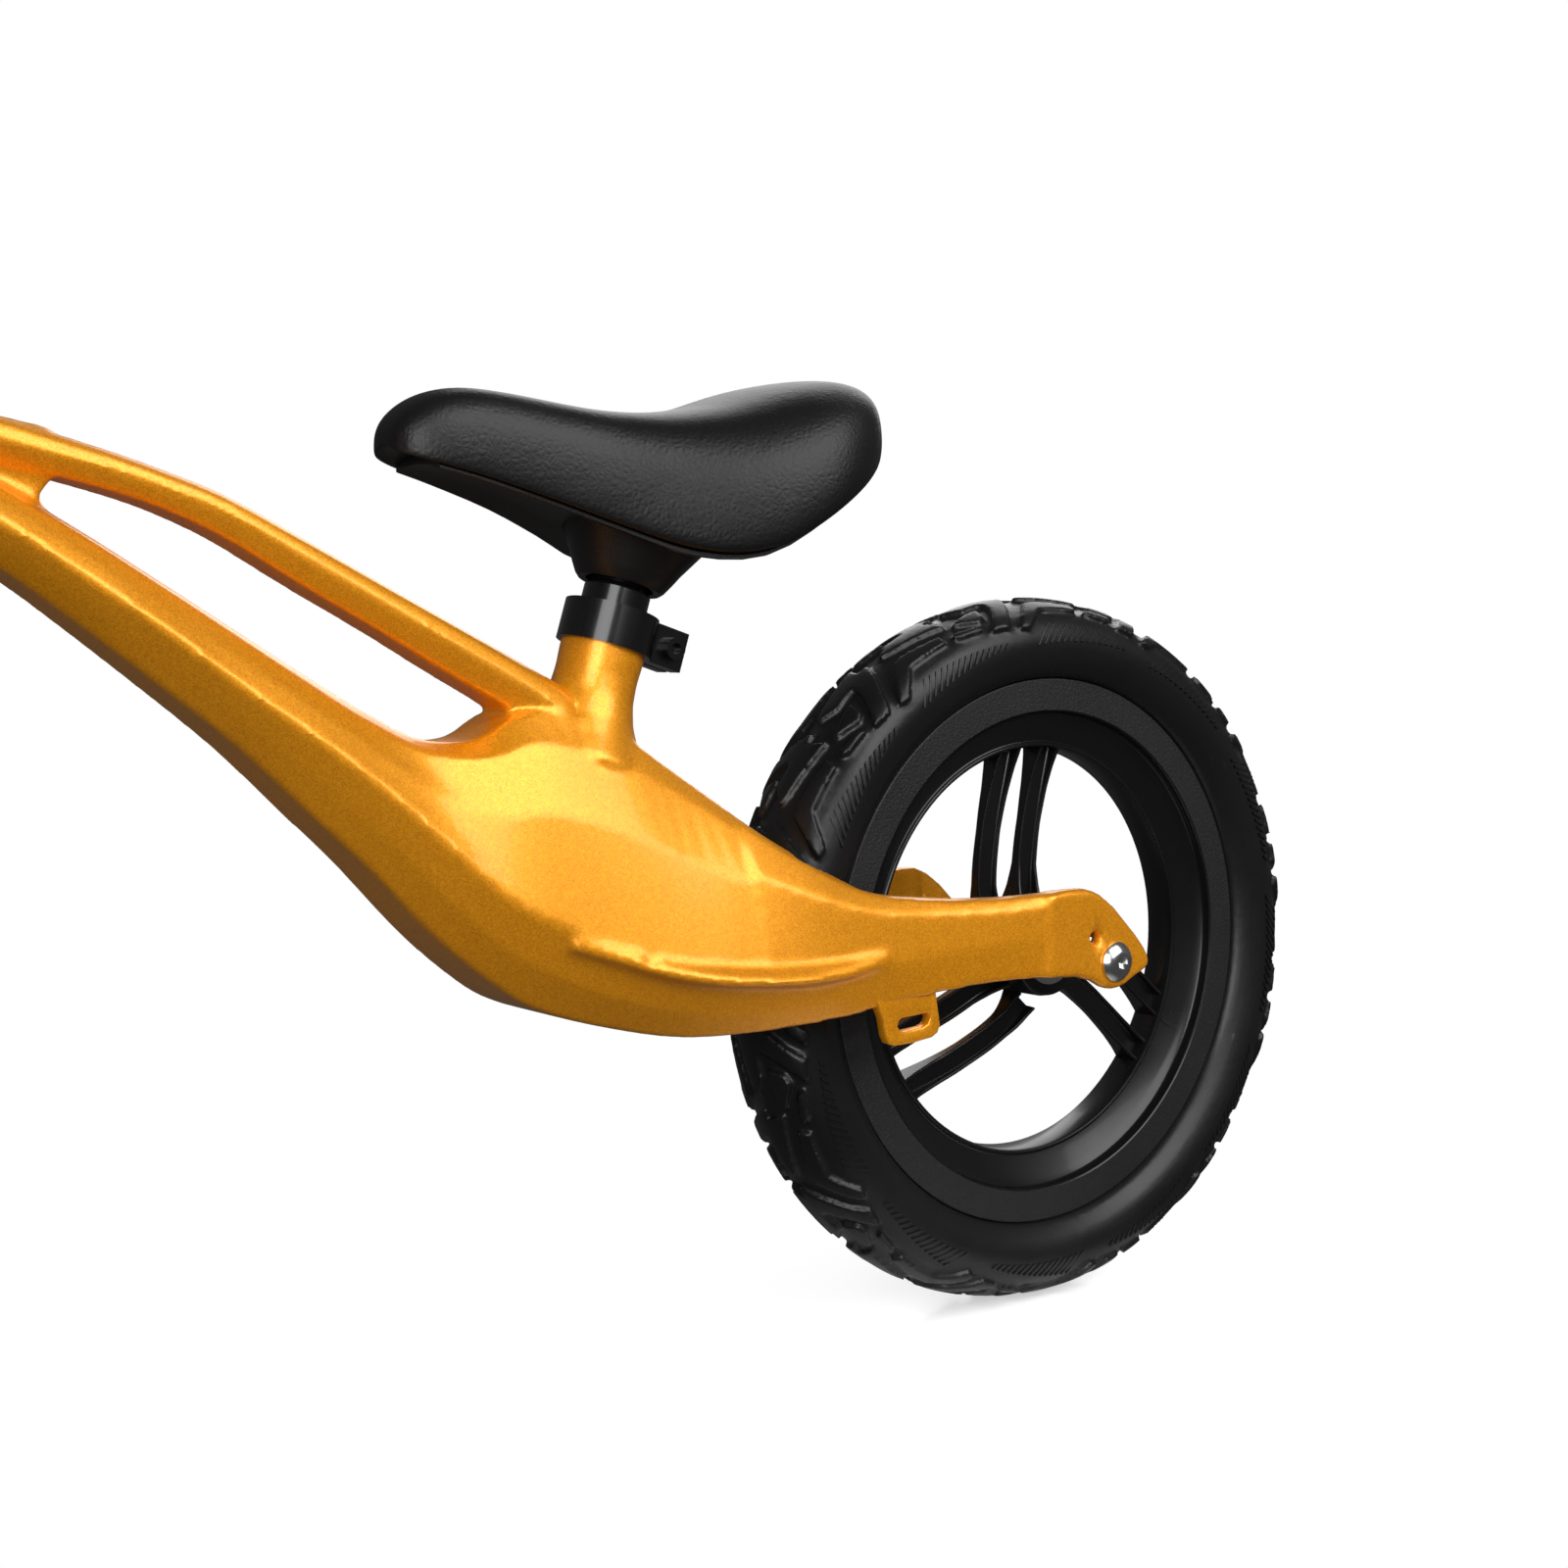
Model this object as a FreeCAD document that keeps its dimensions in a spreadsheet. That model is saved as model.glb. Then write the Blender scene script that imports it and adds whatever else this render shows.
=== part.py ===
import FreeCAD, Part
import math
import os
import Sketcher

os.makedirs("parts", exist_ok=True)
doc = FreeCAD.newDocument("balance_bike")
Vec = FreeCAD.Vector

# ---------------------------------------------------------------- driving dimensions (mm, degrees)
# Row frame: +X forward, +Y the rider's left, +Z up, origin on the ground midway between the axles.
DIMENSIONS = {
    "wheelbase": 600,
    "axle_height": 150,
    "tyre_radius": 150,
    "tyre_half_width": 24.3,
    "tyre_shoulder_radius": 131,
    "tyre_crown_half_width": 15,
    "bead_half_width": 14,
    "bead_radius": 110,
    "rim_flange_radius": 115.5,
    "rim_face_radius": 101.5,
    "rim_half_width": 16.5,
    "rim_opening_radius": 86,
    "rim_waist_half_width": 5.5,
    "spoke_width": 8,
    "spoke_half_depth": 8,
    "hub_radius": 19.5,
    "hub_half_width": 18,
    "bearing_radius": 14,
    "bearing_width": 7,
    "axle_radius": 5,
    "axle_clearance": 0.05,
    "axle_bolt_radius": 3,
    "axle_bolt_head_radius": 8.2,
    "axle_bolt_head_height": 4,
    "head_tilt": 19.5,
    "head_x": 211,
    "head_z": 350,
    "head_tube_radius": 21,
    "head_tube_bore": 16,
    "head_tube_bottom": -38,
    "head_tube_top": 32,
    "headset_height": 6,
    "steerer_radius": 14.3,
    "steerer_clearance": 0.05,
    "steerer_top": 62,
    "crown_top": -44.4,
    "crown_bottom": -60,
    "fork_inner_half_gap": 34,
    "fork_outer_half_width": 47,
    "fork_axle_forward": 17.13,
    "fork_axle_down": -218.24,
    "bar_tube_radius": 11.1,
    "bar_slide_clearance": 0.05,
    "bar_centre_height": 222,
    "bar_rise": 14,
    "bar_half_length": 205,
    "grip_radius": 15.5,
    "grip_inner_end": 96,
    "grip_flange_radius": 21,
    "seat_tilt": 17.3,
    "seat_x": -86,
    "seat_z": 279,
    "seat_neck_radius": 15.8,
    "seat_post_radius": 12.5,
    "seat_post_clearance": 0.05,
    "seat_post_bottom": -80,
    "seat_post_top": 38,
    "seat_plate_radius": 19,
    "saddle_screw_radius": 2,
    "seat_clamp_radius": 17.8,
    "seat_clamp_height": 15,
    "rear_dropout_inner": 50.5,
    "rear_dropout_outer": 56,
    "rear_tab_inner": 40,
    "rear_tab_outer": 45,
    "tyre_gap_radius": 158,
    "tyre_gap_half_width": 34.5,
    "dropout_hole_radius": 2.6,
    "slit_half_width": 1,
    "clamp_bolt_radius": 2.5,
    "clamp_bolt_head_radius": 4.2,
    "clamp_ear_half_width": 7.5,
}
sheet = doc.addObject("Spreadsheet::Sheet", "dims")
for row, (alias, value) in enumerate(DIMENSIONS.items(), 1):
    sheet.set("A%d" % row, alias)
    sheet.set("B%d" % row, str(value))
    sheet.setAlias("B%d" % row, alias)
doc.recompute()


# ---------------------------------------------------------------- helpers
def number(expression):
    """Value of an expression written in sheet aliases."""
    if not isinstance(expression, str):
        return float(expression)
    sheet.set("D1", "=" + expression)
    sheet.recompute()
    return float(sheet.get("D1"))


def bound(expression):
    """The same expression with every alias pointed at the sheet."""
    for alias in sorted(DIMENSIONS, key=len, reverse=True):
        expression = expression.replace(alias, "<%d>" % list(DIMENSIONS).index(alias))
    for index, alias in enumerate(DIMENSIONS):
        expression = expression.replace("<%d>" % index, "dims." + alias)
    return expression


def new_body(name):
    body = doc.addObject("PartDesign::Body", name)
    body.Label = name
    return body


def place(body, x="", z="", tilt=""):
    """Move a finished body to its place; tilt leans it back about the Y axis."""
    body.Placement = FreeCAD.Placement(Vec(0, 0, 0), FreeCAD.Rotation(Vec(0, 1, 0), -10))
    body.setExpression("Placement.Base.x", bound(x) if x else "0")
    body.setExpression("Placement.Base.z", bound(z) if z else "0")
    body.setExpression("Placement.Rotation.Angle", bound("-" + tilt) if tilt else "0")


def new_sketch(body, name, role, offset=0.0):
    """Empty sketch on one of the body's own planes, moved along the plane's normal."""
    sketch = body.newObject("Sketcher::SketchObject", name)
    plane = [item for item in body.Origin.OriginFeatures if item.Role == role][0]
    sketch.AttachmentSupport = (plane, [""])
    sketch.MapMode = "FlatFace"
    sketch.AttachmentOffset = FreeCAD.Placement(Vec(0, 0, number(offset)), FreeCAD.Rotation())
    if isinstance(offset, str):
        sketch.setExpression("AttachmentOffset.Base.z", bound(offset))
    return sketch


def pin(sketch, kind, axis, geometry, expression):
    """Hold one coordinate of a line's start point at a sheet expression."""
    value = number(expression)
    if abs(value) < 1e-9:
        sketch.addConstraint(Sketcher.Constraint("PointOnObject", geometry, 1, axis))
        return
    index = sketch.addConstraint(Sketcher.Constraint(kind, -1, 1, geometry, 1, value))
    if isinstance(expression, str):
        sketch.setExpression("Constraints[%d]" % index, bound(expression))


def polygon(sketch, points):
    """Closed outline whose corners are numbers or sheet expressions."""
    corners = [Vec(number(u), number(v), 0) for u, v in points]
    first = sketch.GeometryCount
    for start, end in zip(corners, corners[1:] + corners[:1]):
        sketch.addGeometry(Part.LineSegment(start, end))
    for index, (u, v) in enumerate(points):
        line = first + index
        following = first + (index + 1) % len(points)
        sketch.addConstraint(Sketcher.Constraint("Coincident", line, 2, following, 1))
        pin(sketch, "DistanceX", -2, line, u)
        pin(sketch, "DistanceY", -1, line, v)


def outline(sketch, points):
    """Free-form closed outline of a styled section, not tied to the sheet."""
    corners = [Vec(u, v, 0) for u, v in points]
    first = sketch.GeometryCount
    for start, end in zip(corners, corners[1:] + corners[:1]):
        sketch.addGeometry(Part.LineSegment(start, end))
    for index in range(len(corners)):
        following = first + (index + 1) % len(corners)
        sketch.addConstraint(Sketcher.Constraint("Coincident", first + index, 2, following, 1))


def circle(sketch, u, v, radius):
    centre = Vec(number(u), number(v), 0)
    geometry = sketch.addGeometry(Part.Circle(centre, Vec(0, 0, 1), number(radius)))
    index = sketch.addConstraint(Sketcher.Constraint("Radius", geometry, number(radius)))
    if isinstance(radius, str):
        sketch.setExpression("Constraints[%d]" % index, bound(radius))
    for kind, axis, expression in (("DistanceX", -2, u), ("DistanceY", -1, v)):
        value = number(expression)
        if abs(value) < 1e-9:
            sketch.addConstraint(Sketcher.Constraint("PointOnObject", geometry, 3, axis))
            continue
        index = sketch.addConstraint(Sketcher.Constraint(kind, -1, 1, geometry, 3, value))
        if isinstance(expression, str):
            sketch.setExpression("Constraints[%d]" % index, bound(expression))


def revolve(body, name, role, points, axis):
    """Full revolution of an outline about the sketch's H_Axis or V_Axis."""
    sketch = new_sketch(body, name + "_profile", role)
    polygon(sketch, points)
    feature = body.newObject("PartDesign::Revolution", name)
    feature.Profile = sketch
    feature.ReferenceAxis = (sketch, [axis])
    feature.Angle = 360
    return feature


def groove(body, name, role, points, axis):
    """Full revolved cut of an outline about the sketch's H_Axis or V_Axis."""
    sketch = new_sketch(body, name + "_profile", role)
    polygon(sketch, points)
    feature = body.newObject("PartDesign::Groove", name)
    feature.Profile = sketch
    feature.ReferenceAxis = (sketch, [axis])
    feature.Angle = 360
    return feature


def between(feature, sketch, low, high):
    """Turn a pad or pocket into one that fills low..high along the sketch's normal."""
    feature.Profile = sketch
    feature.SideType = "Symmetric"
    feature.Length = number(high) - number(low)
    feature.setExpression("Length", bound("%s - (%s)" % (high, low)))
    sketch.AttachmentOffset = FreeCAD.Placement(
        Vec(0, 0, (number(high) + number(low)) / 2), FreeCAD.Rotation())
    sketch.setExpression("AttachmentOffset.Base.z", bound("(%s + (%s)) / 2" % (high, low)))


def pad(body, name, role, low, high, draw):
    """Prism between two heights along the plane's normal; draw fills the sketch."""
    sketch = new_sketch(body, name + "_outline", role)
    draw(sketch)
    feature = body.newObject("PartDesign::Pad", name)
    between(feature, sketch, low, high)
    return feature


def pocket(body, name, role, low, high, draw):
    """Cut between two heights along the plane's normal; draw fills the sketch."""
    sketch = new_sketch(body, name + "_outline", role)
    draw(sketch)
    feature = body.newObject("PartDesign::Pocket", name)
    between(feature, sketch, low, high)
    return feature


def loft(body, name, role, sections):
    """Additive loft through (offset, outline points) sections."""
    sketches = []
    for index, (offset, points) in enumerate(sections):
        sketch = new_sketch(body, "%s_section_%02d" % (name, index), role, offset)
        outline(sketch, points)
        sketches.append(sketch)
    feature = body.newObject("PartDesign::AdditiveLoft", name)
    feature.Profile = sketches[0]
    feature.Sections = [(sketch, [""]) for sketch in sketches[1:]]
    return feature


def mirrored(half):
    """Close a half section, listed from top to bottom at +u, with its mirror image."""
    return half + [(-u, v) for u, v in reversed(half)]


def ring(body, name, inner, outer, low, high):
    """Ring about the body's Z axis."""
    points = [(inner, low), (outer, low), (outer, high), (inner, high)]
    return revolve(body, name, "XZ_Plane", points, "V_Axis")


def ring_y(body, name, inner, outer, low, high):
    """Ring about the body's Y axis."""
    points = [(low, inner), (low, outer), (high, outer), (high, inner)]
    return revolve(body, name, "YZ_Plane", points, "H_Axis")


# ---------------------------------------------------------------- wheels
SPOKE_LINES = (
    ((18.0, 12.0), (20.5, 52.0), (11.0, 90.0)),
    ((-3.0, 14.0), (-2.5, 52.0), (-12.0, 90.0)),
)
SPOKE_PAIRS = 3


def arc_through(start, middle, end, shift):
    """Three-point arc moved sideways by shift."""
    points = []
    for before, point, after in ((start, start, middle), (start, middle, end), (middle, end, end)):
        along = Vec(after[0] - before[0], after[1] - before[1], 0).normalize()
        points.append(Vec(point[0] - along.y * shift, point[1] + along.x * shift, 0))
    return Part.ArcOfCircle(*points), points[0], points[2]


def draw_spoke(sketch, line, half_width):
    """One bowed spoke as a band between two arcs."""
    left, left_start, left_end = arc_through(*line, half_width)
    right, right_start, right_end = arc_through(*line, -half_width)
    sketch.addGeometry(left)
    sketch.addGeometry(Part.LineSegment(left_end, right_end))
    sketch.addGeometry(right)
    sketch.addGeometry(Part.LineSegment(right_start, left_start))


def make_tyre(prefix, x):
    body = new_body(prefix + "_tyre")
    half = [
        ("bead_radius", "bead_half_width"),
        ("rim_flange_radius", "bead_half_width"),
        ("rim_flange_radius", "rim_half_width + 1"),
        ("rim_flange_radius + 5", "tyre_half_width - 3.4"),
        ("tyre_shoulder_radius - 6", "tyre_half_width - 0.8"),
        ("tyre_shoulder_radius", "tyre_half_width"),
        ("tyre_shoulder_radius + 6", "tyre_half_width - 1.2"),
        ("tyre_radius - 8", "tyre_half_width - 4"),
        ("tyre_radius - 3", "tyre_crown_half_width"),
        ("tyre_radius", "tyre_crown_half_width - 8"),
    ]
    points = [(y, r) for r, y in half] + [("-(%s)" % y, r) for r, y in reversed(half)]
    revolve(body, "tyre_ring", "YZ_Plane", points, "H_Axis")
    place(body, x, "axle_height")


def make_rim(prefix, x):
    body = new_body(prefix + "_rim")
    half = [
        ("bead_radius", "bead_half_width"),
        ("rim_flange_radius", "bead_half_width"),
        ("rim_flange_radius", "rim_half_width"),
        ("rim_face_radius", "rim_half_width"),
        ("rim_opening_radius", "rim_waist_half_width"),
    ]
    points = [(y, r) for r, y in half] + [("-(%s)" % y, r) for r, y in reversed(half)]
    revolve(body, "rim_ring", "YZ_Plane", points, "H_Axis")
    ring_y(body, "hub", "bearing_radius", "hub_radius", "-hub_half_width", "hub_half_width")
    spokes = []
    recesses = []
    for index, line in enumerate(SPOKE_LINES):
        sketch = new_sketch(body, "spoke_outline_%d" % index, "XZ_Plane")
        draw_spoke(sketch, line, number("spoke_width / 2"))
        spoke = body.newObject("PartDesign::Pad", "spoke_%d" % index)
        spoke.Profile = sketch
        spoke.SideType = "Symmetric"
        spoke.setExpression("Length", bound("2 * spoke_half_depth"))
        spokes.append(spoke)
    body.Tip = spokes[-1]
    pattern = body.newObject("PartDesign::PolarPattern", "spoke_pattern")
    pattern.Originals = spokes
    pattern.Axis = (new_sketch(body, "spoke_axis", "XZ_Plane"), ["N_Axis"])
    pattern.Angle = 360
    pattern.Occurrences = SPOKE_PAIRS
    body.Tip = pattern
    groove(body, "bearing_seat", "YZ_Plane", [
        ("-hub_half_width - 1", 0),
        ("-hub_half_width - 1", "bearing_radius"),
        ("hub_half_width + 1", "bearing_radius"),
        ("hub_half_width + 1", 0),
    ], "H_Axis")
    place(body, x, "axle_height")


def make_hub_parts(prefix, x, inner, outer):
    """Bearings and sleeve that turn with the wheel, then axle, spacers and bolts that stay."""
    for side, sign in (("left", ""), ("right", "-")):
        bearing = new_body("%s_bearing_%s" % (prefix, side))
        ends = ["%s(hub_half_width - bearing_width)" % sign, "%shub_half_width" % sign]
        low, high = sorted(ends, key=number)
        ring_y(bearing, "bearing_ring", "axle_radius + axle_clearance", "bearing_radius", low, high)
        place(bearing, x, "axle_height")
    sleeve = new_body(prefix + "_hub_sleeve")
    ring_y(sleeve, "sleeve_ring", "axle_radius + 0.4", "axle_radius + 3",
           "-(hub_half_width - bearing_width)", "hub_half_width - bearing_width")
    place(sleeve, x, "axle_height")
    axle = new_body(prefix + "_axle")
    ring_y(axle, "axle_rod", "axle_bolt_radius", "axle_radius", "-" + outer, outer)
    place(axle, x, "axle_height")
    for side, sign in (("left", 1), ("right", -1)):
        spacer = new_body("%s_spacer_%s" % (prefix, side))
        ends = ["hub_half_width + 0.3", inner]
        if sign < 0:
            ends = ["-(%s)" % end for end in reversed(ends)]
        ring_y(spacer, "spacer_ring", "axle_radius", "axle_radius + 3.5", ends[0], ends[1])
        place(spacer, x, "axle_height")
        bolt = new_body("%s_axle_bolt_%s" % (prefix, side))
        profile = [
            (outer + " - 22", 0),
            (outer + " - 22", "axle_bolt_radius"),
            (outer, "axle_bolt_radius"),
            (outer, "axle_bolt_head_radius"),
            (outer + " + 1", "axle_bolt_head_radius"),
            (outer + " + axle_bolt_head_height * 0.8", "axle_bolt_head_radius * 0.7"),
            (outer + " + axle_bolt_head_height", "axle_bolt_head_radius * 0.45"),
            (outer + " + axle_bolt_head_height", 2.5),
            (outer + " + axle_bolt_head_height - 2.4", 2.5),
            (outer + " + axle_bolt_head_height - 2.4", 0),
        ]
        if sign < 0:
            profile = [("-(%s)" % y, r) for y, r in profile]
        revolve(bolt, "bolt_turned", "YZ_Plane", profile, "H_Axis")
        place(bolt, x, "axle_height")


WHEELS = (
    ("rear", "-wheelbase / 2", "rear_dropout_inner", "rear_dropout_outer"),
    ("front", "wheelbase / 2", "fork_inner_half_gap", "fork_outer_half_width"),
)
for prefix, x, inner, outer in WHEELS:
    make_tyre(prefix, x)
    make_rim(prefix, x)
    make_hub_parts(prefix, x, inner, outer)

# ---------------------------------------------------------------- frame
# Spar and belly sections at constant x: (top, knee, crease, bottom) as (half width, z).
SPAR = (
    (208, ((9, 357), (15, 352), (18, 346), (9, 337))),
    (170, ((8, 345), (15, 341), (19.5, 332), (9, 321))),
    (139, ((7, 331), (15, 326), (21, 316), (9.5, 304))),
    (115, ((7, 318), (15.5, 312), (22, 300.5), (10, 287))),
    (90, ((7, 303), (16, 297), (23.5, 284), (11, 268))),
    (64, ((7.5, 287), (17, 280), (25, 265), (12, 247.5))),
    (38, ((8, 271), (18, 263), (27, 247), (13, 223.5))),
    (16, ((9, 258), (20, 249), (29, 230), (14, 203))),
    (-4, ((10, 249), (22, 239), (31.5, 212), (15, 182))),
    (-25, ((12, 250), (25, 238), (34, 193), (16, 164))),
    (-45, ((14, 260), (28, 240), (37, 179), (18, 150))),
    (-75, ((17, 252), (32, 228), (42, 166), (22, 141))),
    (-105, ((21, 233), (36, 212), (45, 160), (28, 136))),
    (-140, ((30, 208), (40, 195), (47, 157), (36, 136))),
    (-176, ((37, 188), (42, 181), (47.5, 158), (42, 139.5))),
)
RAIL = (
    (208, ((8, 367), (13, 360), (8, 352))),
    (170, ((8, 359.5), (13, 352), (8, 344))),
    (136, ((8, 351), (12.5, 345), (8, 337))),
    (105, ((8, 343), (12, 337), (8, 330))),
    (85, ((8, 337), (12, 331), (8, 323))),
    (65, ((8, 330), (12, 324), (8, 315))),
    (38, ((8, 317), (12.5, 310), (8, 300))),
    (9, ((8, 302), (13, 295), (8, 285))),
    (-14, ((8, 291), (13.5, 283), (8, 272))),
    (-38, ((8, 279), (14, 270), (9, 259))),
    (-64, ((8, 266), (15, 256), (10, 244))),
)
# Half of the web that joins rail and spar ahead of the window.
WEB = ((124, 349), (121, 333), (126, 327), (121, 322), (139, 306), (205, 340), (205, 364))
# Stay sections at constant x: (y, z) corners, inner top first.
STAY = (
    (-130, ((22, 214), (31, 213), (45.5, 158), (36, 138), (22, 138))),
    (-150, ((30, 201), (36, 200), (46.5, 157), (38, 138.5), (30, 138.5))),
    (-178, ((35, 187), (41, 186), (47.5, 158), (42, 140.5), (35, 140.5))),
    (-210, ((36, 181), (45, 180), (49.5, 160), (46.5, 144.5), (36, 144.5))),
    (-245, ((41, 179), (50, 178.5), (52.5, 162), (51, 146.5), (41, 146.5))),
    (-274, ((48, 181), (54.5, 180.5), (55.8, 163), (55.3, 146), (48, 146))),
)
DROPOUT = (
    (-266, 180), (-281, 181), (-292, 179), (-306, 168), (-315, 159), (-320.6, 150),
    (-319, 145), (-311, 142), (-305, 139), (-296, 138.5), (-288, 141.5), (-280, 145), (-266, 146),
)
TAB = (
    (-174, 150), (-179, 143), (-183, 136), (-185, 129), (-189, 125.5),
    (-210, 127), (-213.5, 131), (-211, 144), (-209, 150),
)
TAB_SLOT = ((-190.5, 130.5), (-193, 136.5), (-206, 137), (-208, 134.5), (-204, 131))

casting = new_body("frame_casting")
loft(casting, "spar", "YZ_Plane", [(x, mirrored(list(half))) for x, half in SPAR])
loft(casting, "rail", "YZ_Plane", [(x, mirrored(list(half))) for x, half in RAIL])
pad(casting, "web", "XZ_Plane", "-6", "6", lambda sketch: outline(sketch, WEB))
loft(casting, "stay_left", "YZ_Plane", list(STAY))
loft(casting, "stay_right", "YZ_Plane", [(x, [(-y, z) for y, z in half]) for x, half in STAY])
for side, sign in (("left", "-"), ("right", "")):
    ends = sorted([sign + "rear_dropout_inner", sign + "rear_dropout_outer"], key=number)
    pad(casting, "dropout_" + side, "XZ_Plane", ends[0], ends[1],
        lambda sketch: outline(sketch, DROPOUT))
    ends = sorted([sign + "rear_tab_inner", sign + "rear_tab_outer"], key=number)
    pad(casting, "tab_" + side, "XZ_Plane", ends[0], ends[1], lambda sketch: outline(sketch, TAB))

place(casting)

head_tube = new_body("frame_head_tube")
ring(head_tube, "head_tube_ring", "head_tube_bore", "head_tube_radius",
     "head_tube_bottom", "head_tube_top")
place(head_tube, "head_x", "head_z", "head_tilt")

neck = new_body("frame_seat_neck")
NECK = (
    (0, "seat_clamp_height"), ("seat_neck_radius", "seat_clamp_height"),
    ("seat_neck_radius", -4), ("seat_neck_radius - 0.6", -12), ("seat_neck_radius + 0.6", -22),
    ("seat_neck_radius + 4", -31), ("seat_neck_radius + 11", -40), (24, -58), (0, -70),
)
revolve(neck, "neck_turned", "XZ_Plane", list(NECK), "V_Axis")
place(neck, "seat_x", "seat_z", "seat_tilt")

tyre_gap = new_body("cut_tyre_gap")
ring_y(tyre_gap, "tyre_gap_ring", 0, "tyre_gap_radius", "-tyre_gap_half_width",
       "tyre_gap_half_width")
place(tyre_gap, "-wheelbase / 2", "axle_height")

axle_holes = new_body("cut_axle_holes")
ring_y(axle_holes, "axle_hole", 0, "axle_radius", -65, 65)
place(axle_holes, "-wheelbase / 2", "axle_height")

head_bore = new_body("cut_head_bore")
ring(head_bore, "head_bore_round", 0, "head_tube_bore", -80, 80)
place(head_bore, "head_x", "head_z", "head_tilt")

post_bore = new_body("cut_post_bore")
ring(post_bore, "post_bore_round", 0, "seat_post_radius + seat_post_clearance", -95, 40)
pad(post_bore, "neck_slit", "XY_Plane", -14, 40, lambda sketch: polygon(sketch, [
    (0, "-slit_half_width"), (0, "slit_half_width"),
    (-40, "slit_half_width"), (-40, "-slit_half_width"),
]))
place(post_bore, "seat_x", "seat_z", "seat_tilt")

DROPOUT_HOLE = (-288.6, 160.5)
small_cuts = new_body("cut_small_holes")
pad(small_cuts, "dropout_hole", "XZ_Plane", -65, 65,
    lambda sketch: circle(sketch, DROPOUT_HOLE[0], DROPOUT_HOLE[1], "dropout_hole_radius"))
pad(small_cuts, "tab_slot", "XZ_Plane", -60, 60, lambda sketch: outline(sketch, TAB_SLOT))
place(small_cuts)

solid = doc.addObject("Part::MultiFuse", "frame_solid")
solid.Shapes = [casting, head_tube, neck]
cuts = doc.addObject("Part::MultiFuse", "frame_cuts")
cuts.Shapes = [tyre_gap, axle_holes, head_bore, post_bore, small_cuts]
frame = doc.addObject("Part::Cut", "frame")
frame.Label = "frame"
frame.Base = solid
frame.Tool = cuts

# ---------------------------------------------------------------- headset, seat clamp
CUP = ("steerer_radius + steerer_clearance", "head_tube_radius - 1")
lower_cup = new_body("headset_lower")
ring(lower_cup, "cup_ring", CUP[0], CUP[1], "head_tube_bottom - headset_height", "head_tube_bottom")
place(lower_cup, "head_x", "head_z", "head_tilt")
upper_cup = new_body("headset_upper")
ring(upper_cup, "cup_ring", CUP[0], CUP[1], "head_tube_top", "head_tube_top + headset_height")
place(upper_cup, "head_x", "head_z", "head_tilt")
cap = new_body("headset_cap")
ring(cap, "cap_ring", "steerer_radius", "head_tube_radius - 2",
     "head_tube_top + headset_height + 0.3", "head_tube_top + headset_height + 4")
place(cap, "head_x", "head_z", "head_tilt")


def make_clamp(name, inner, outer, low, high, ear, seat):
    """Split collar with two rear ears, its cross bolt and its nut."""
    body = new_body(name)
    ring(body, "collar", inner, outer, low, high)
    pad(body, "ears", "XY_Plane", low, high, lambda sketch: polygon(sketch, [
        ("-(%s) + 1.2" % outer, "-clamp_ear_half_width"),
        ("-(%s) - %d" % (outer, ear), "-clamp_ear_half_width"),
        ("-(%s) - %d" % (outer, ear), "clamp_ear_half_width"),
        ("-(%s) + 1.2" % outer, "clamp_ear_half_width"),
    ]))
    pocket(body, "slit", "XY_Plane", low, high, lambda sketch: polygon(sketch, [
        ("-(%s) + 1.5" % inner, "-slit_half_width"), ("-(%s) - 40" % outer, "-slit_half_width"),
        ("-(%s) - 40" % outer, "slit_half_width"), ("-(%s) + 1.5" % inner, "slit_half_width"),
    ]))
    middle = "(%s + %s) / 2" % (low, high)
    across = "-(%s) - %.1f" % (outer, ear * 0.5)
    pocket(body, "bolt_hole", "XZ_Plane", -20, 20,
           lambda sketch: circle(sketch, across, middle, "clamp_bolt_radius"))
    place(body, *seat)
    bolt = new_body(name + "_bolt")
    pad(bolt, "shank", "XZ_Plane", -7.5, 12,
        lambda sketch: circle(sketch, across, middle, "clamp_bolt_radius"))
    pad(bolt, "head", "XZ_Plane", "-clamp_ear_half_width - 3.5", "-clamp_ear_half_width",
        lambda sketch: circle(sketch, across, middle, "clamp_bolt_head_radius"))
    pocket(bolt, "socket", "XZ_Plane", -12, -9, lambda sketch: circle(sketch, across, middle, 2.1))
    place(bolt, *seat)
    nut = new_body(name + "_nut")
    pad(nut, "nut_body", "XZ_Plane", "clamp_ear_half_width", "clamp_ear_half_width + 3.5",
        lambda sketch: circle(sketch, across, middle, "clamp_bolt_head_radius"))
    pocket(nut, "nut_hole", "XZ_Plane", 0, 20,
           lambda sketch: circle(sketch, across, middle, "clamp_bolt_radius"))
    place(nut, *seat)


SEAT_AXIS = ("seat_x", "seat_z", "seat_tilt")
HEAD_AXIS = ("head_x", "head_z", "head_tilt")
make_clamp("seat_clamp", "seat_neck_radius", "seat_clamp_radius", "0", "seat_clamp_height",
           13, SEAT_AXIS)
make_clamp("handlebar_clamp", "steerer_radius", "steerer_radius + 4", "steerer_top - 16",
           "steerer_top", 13, HEAD_AXIS)

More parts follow.
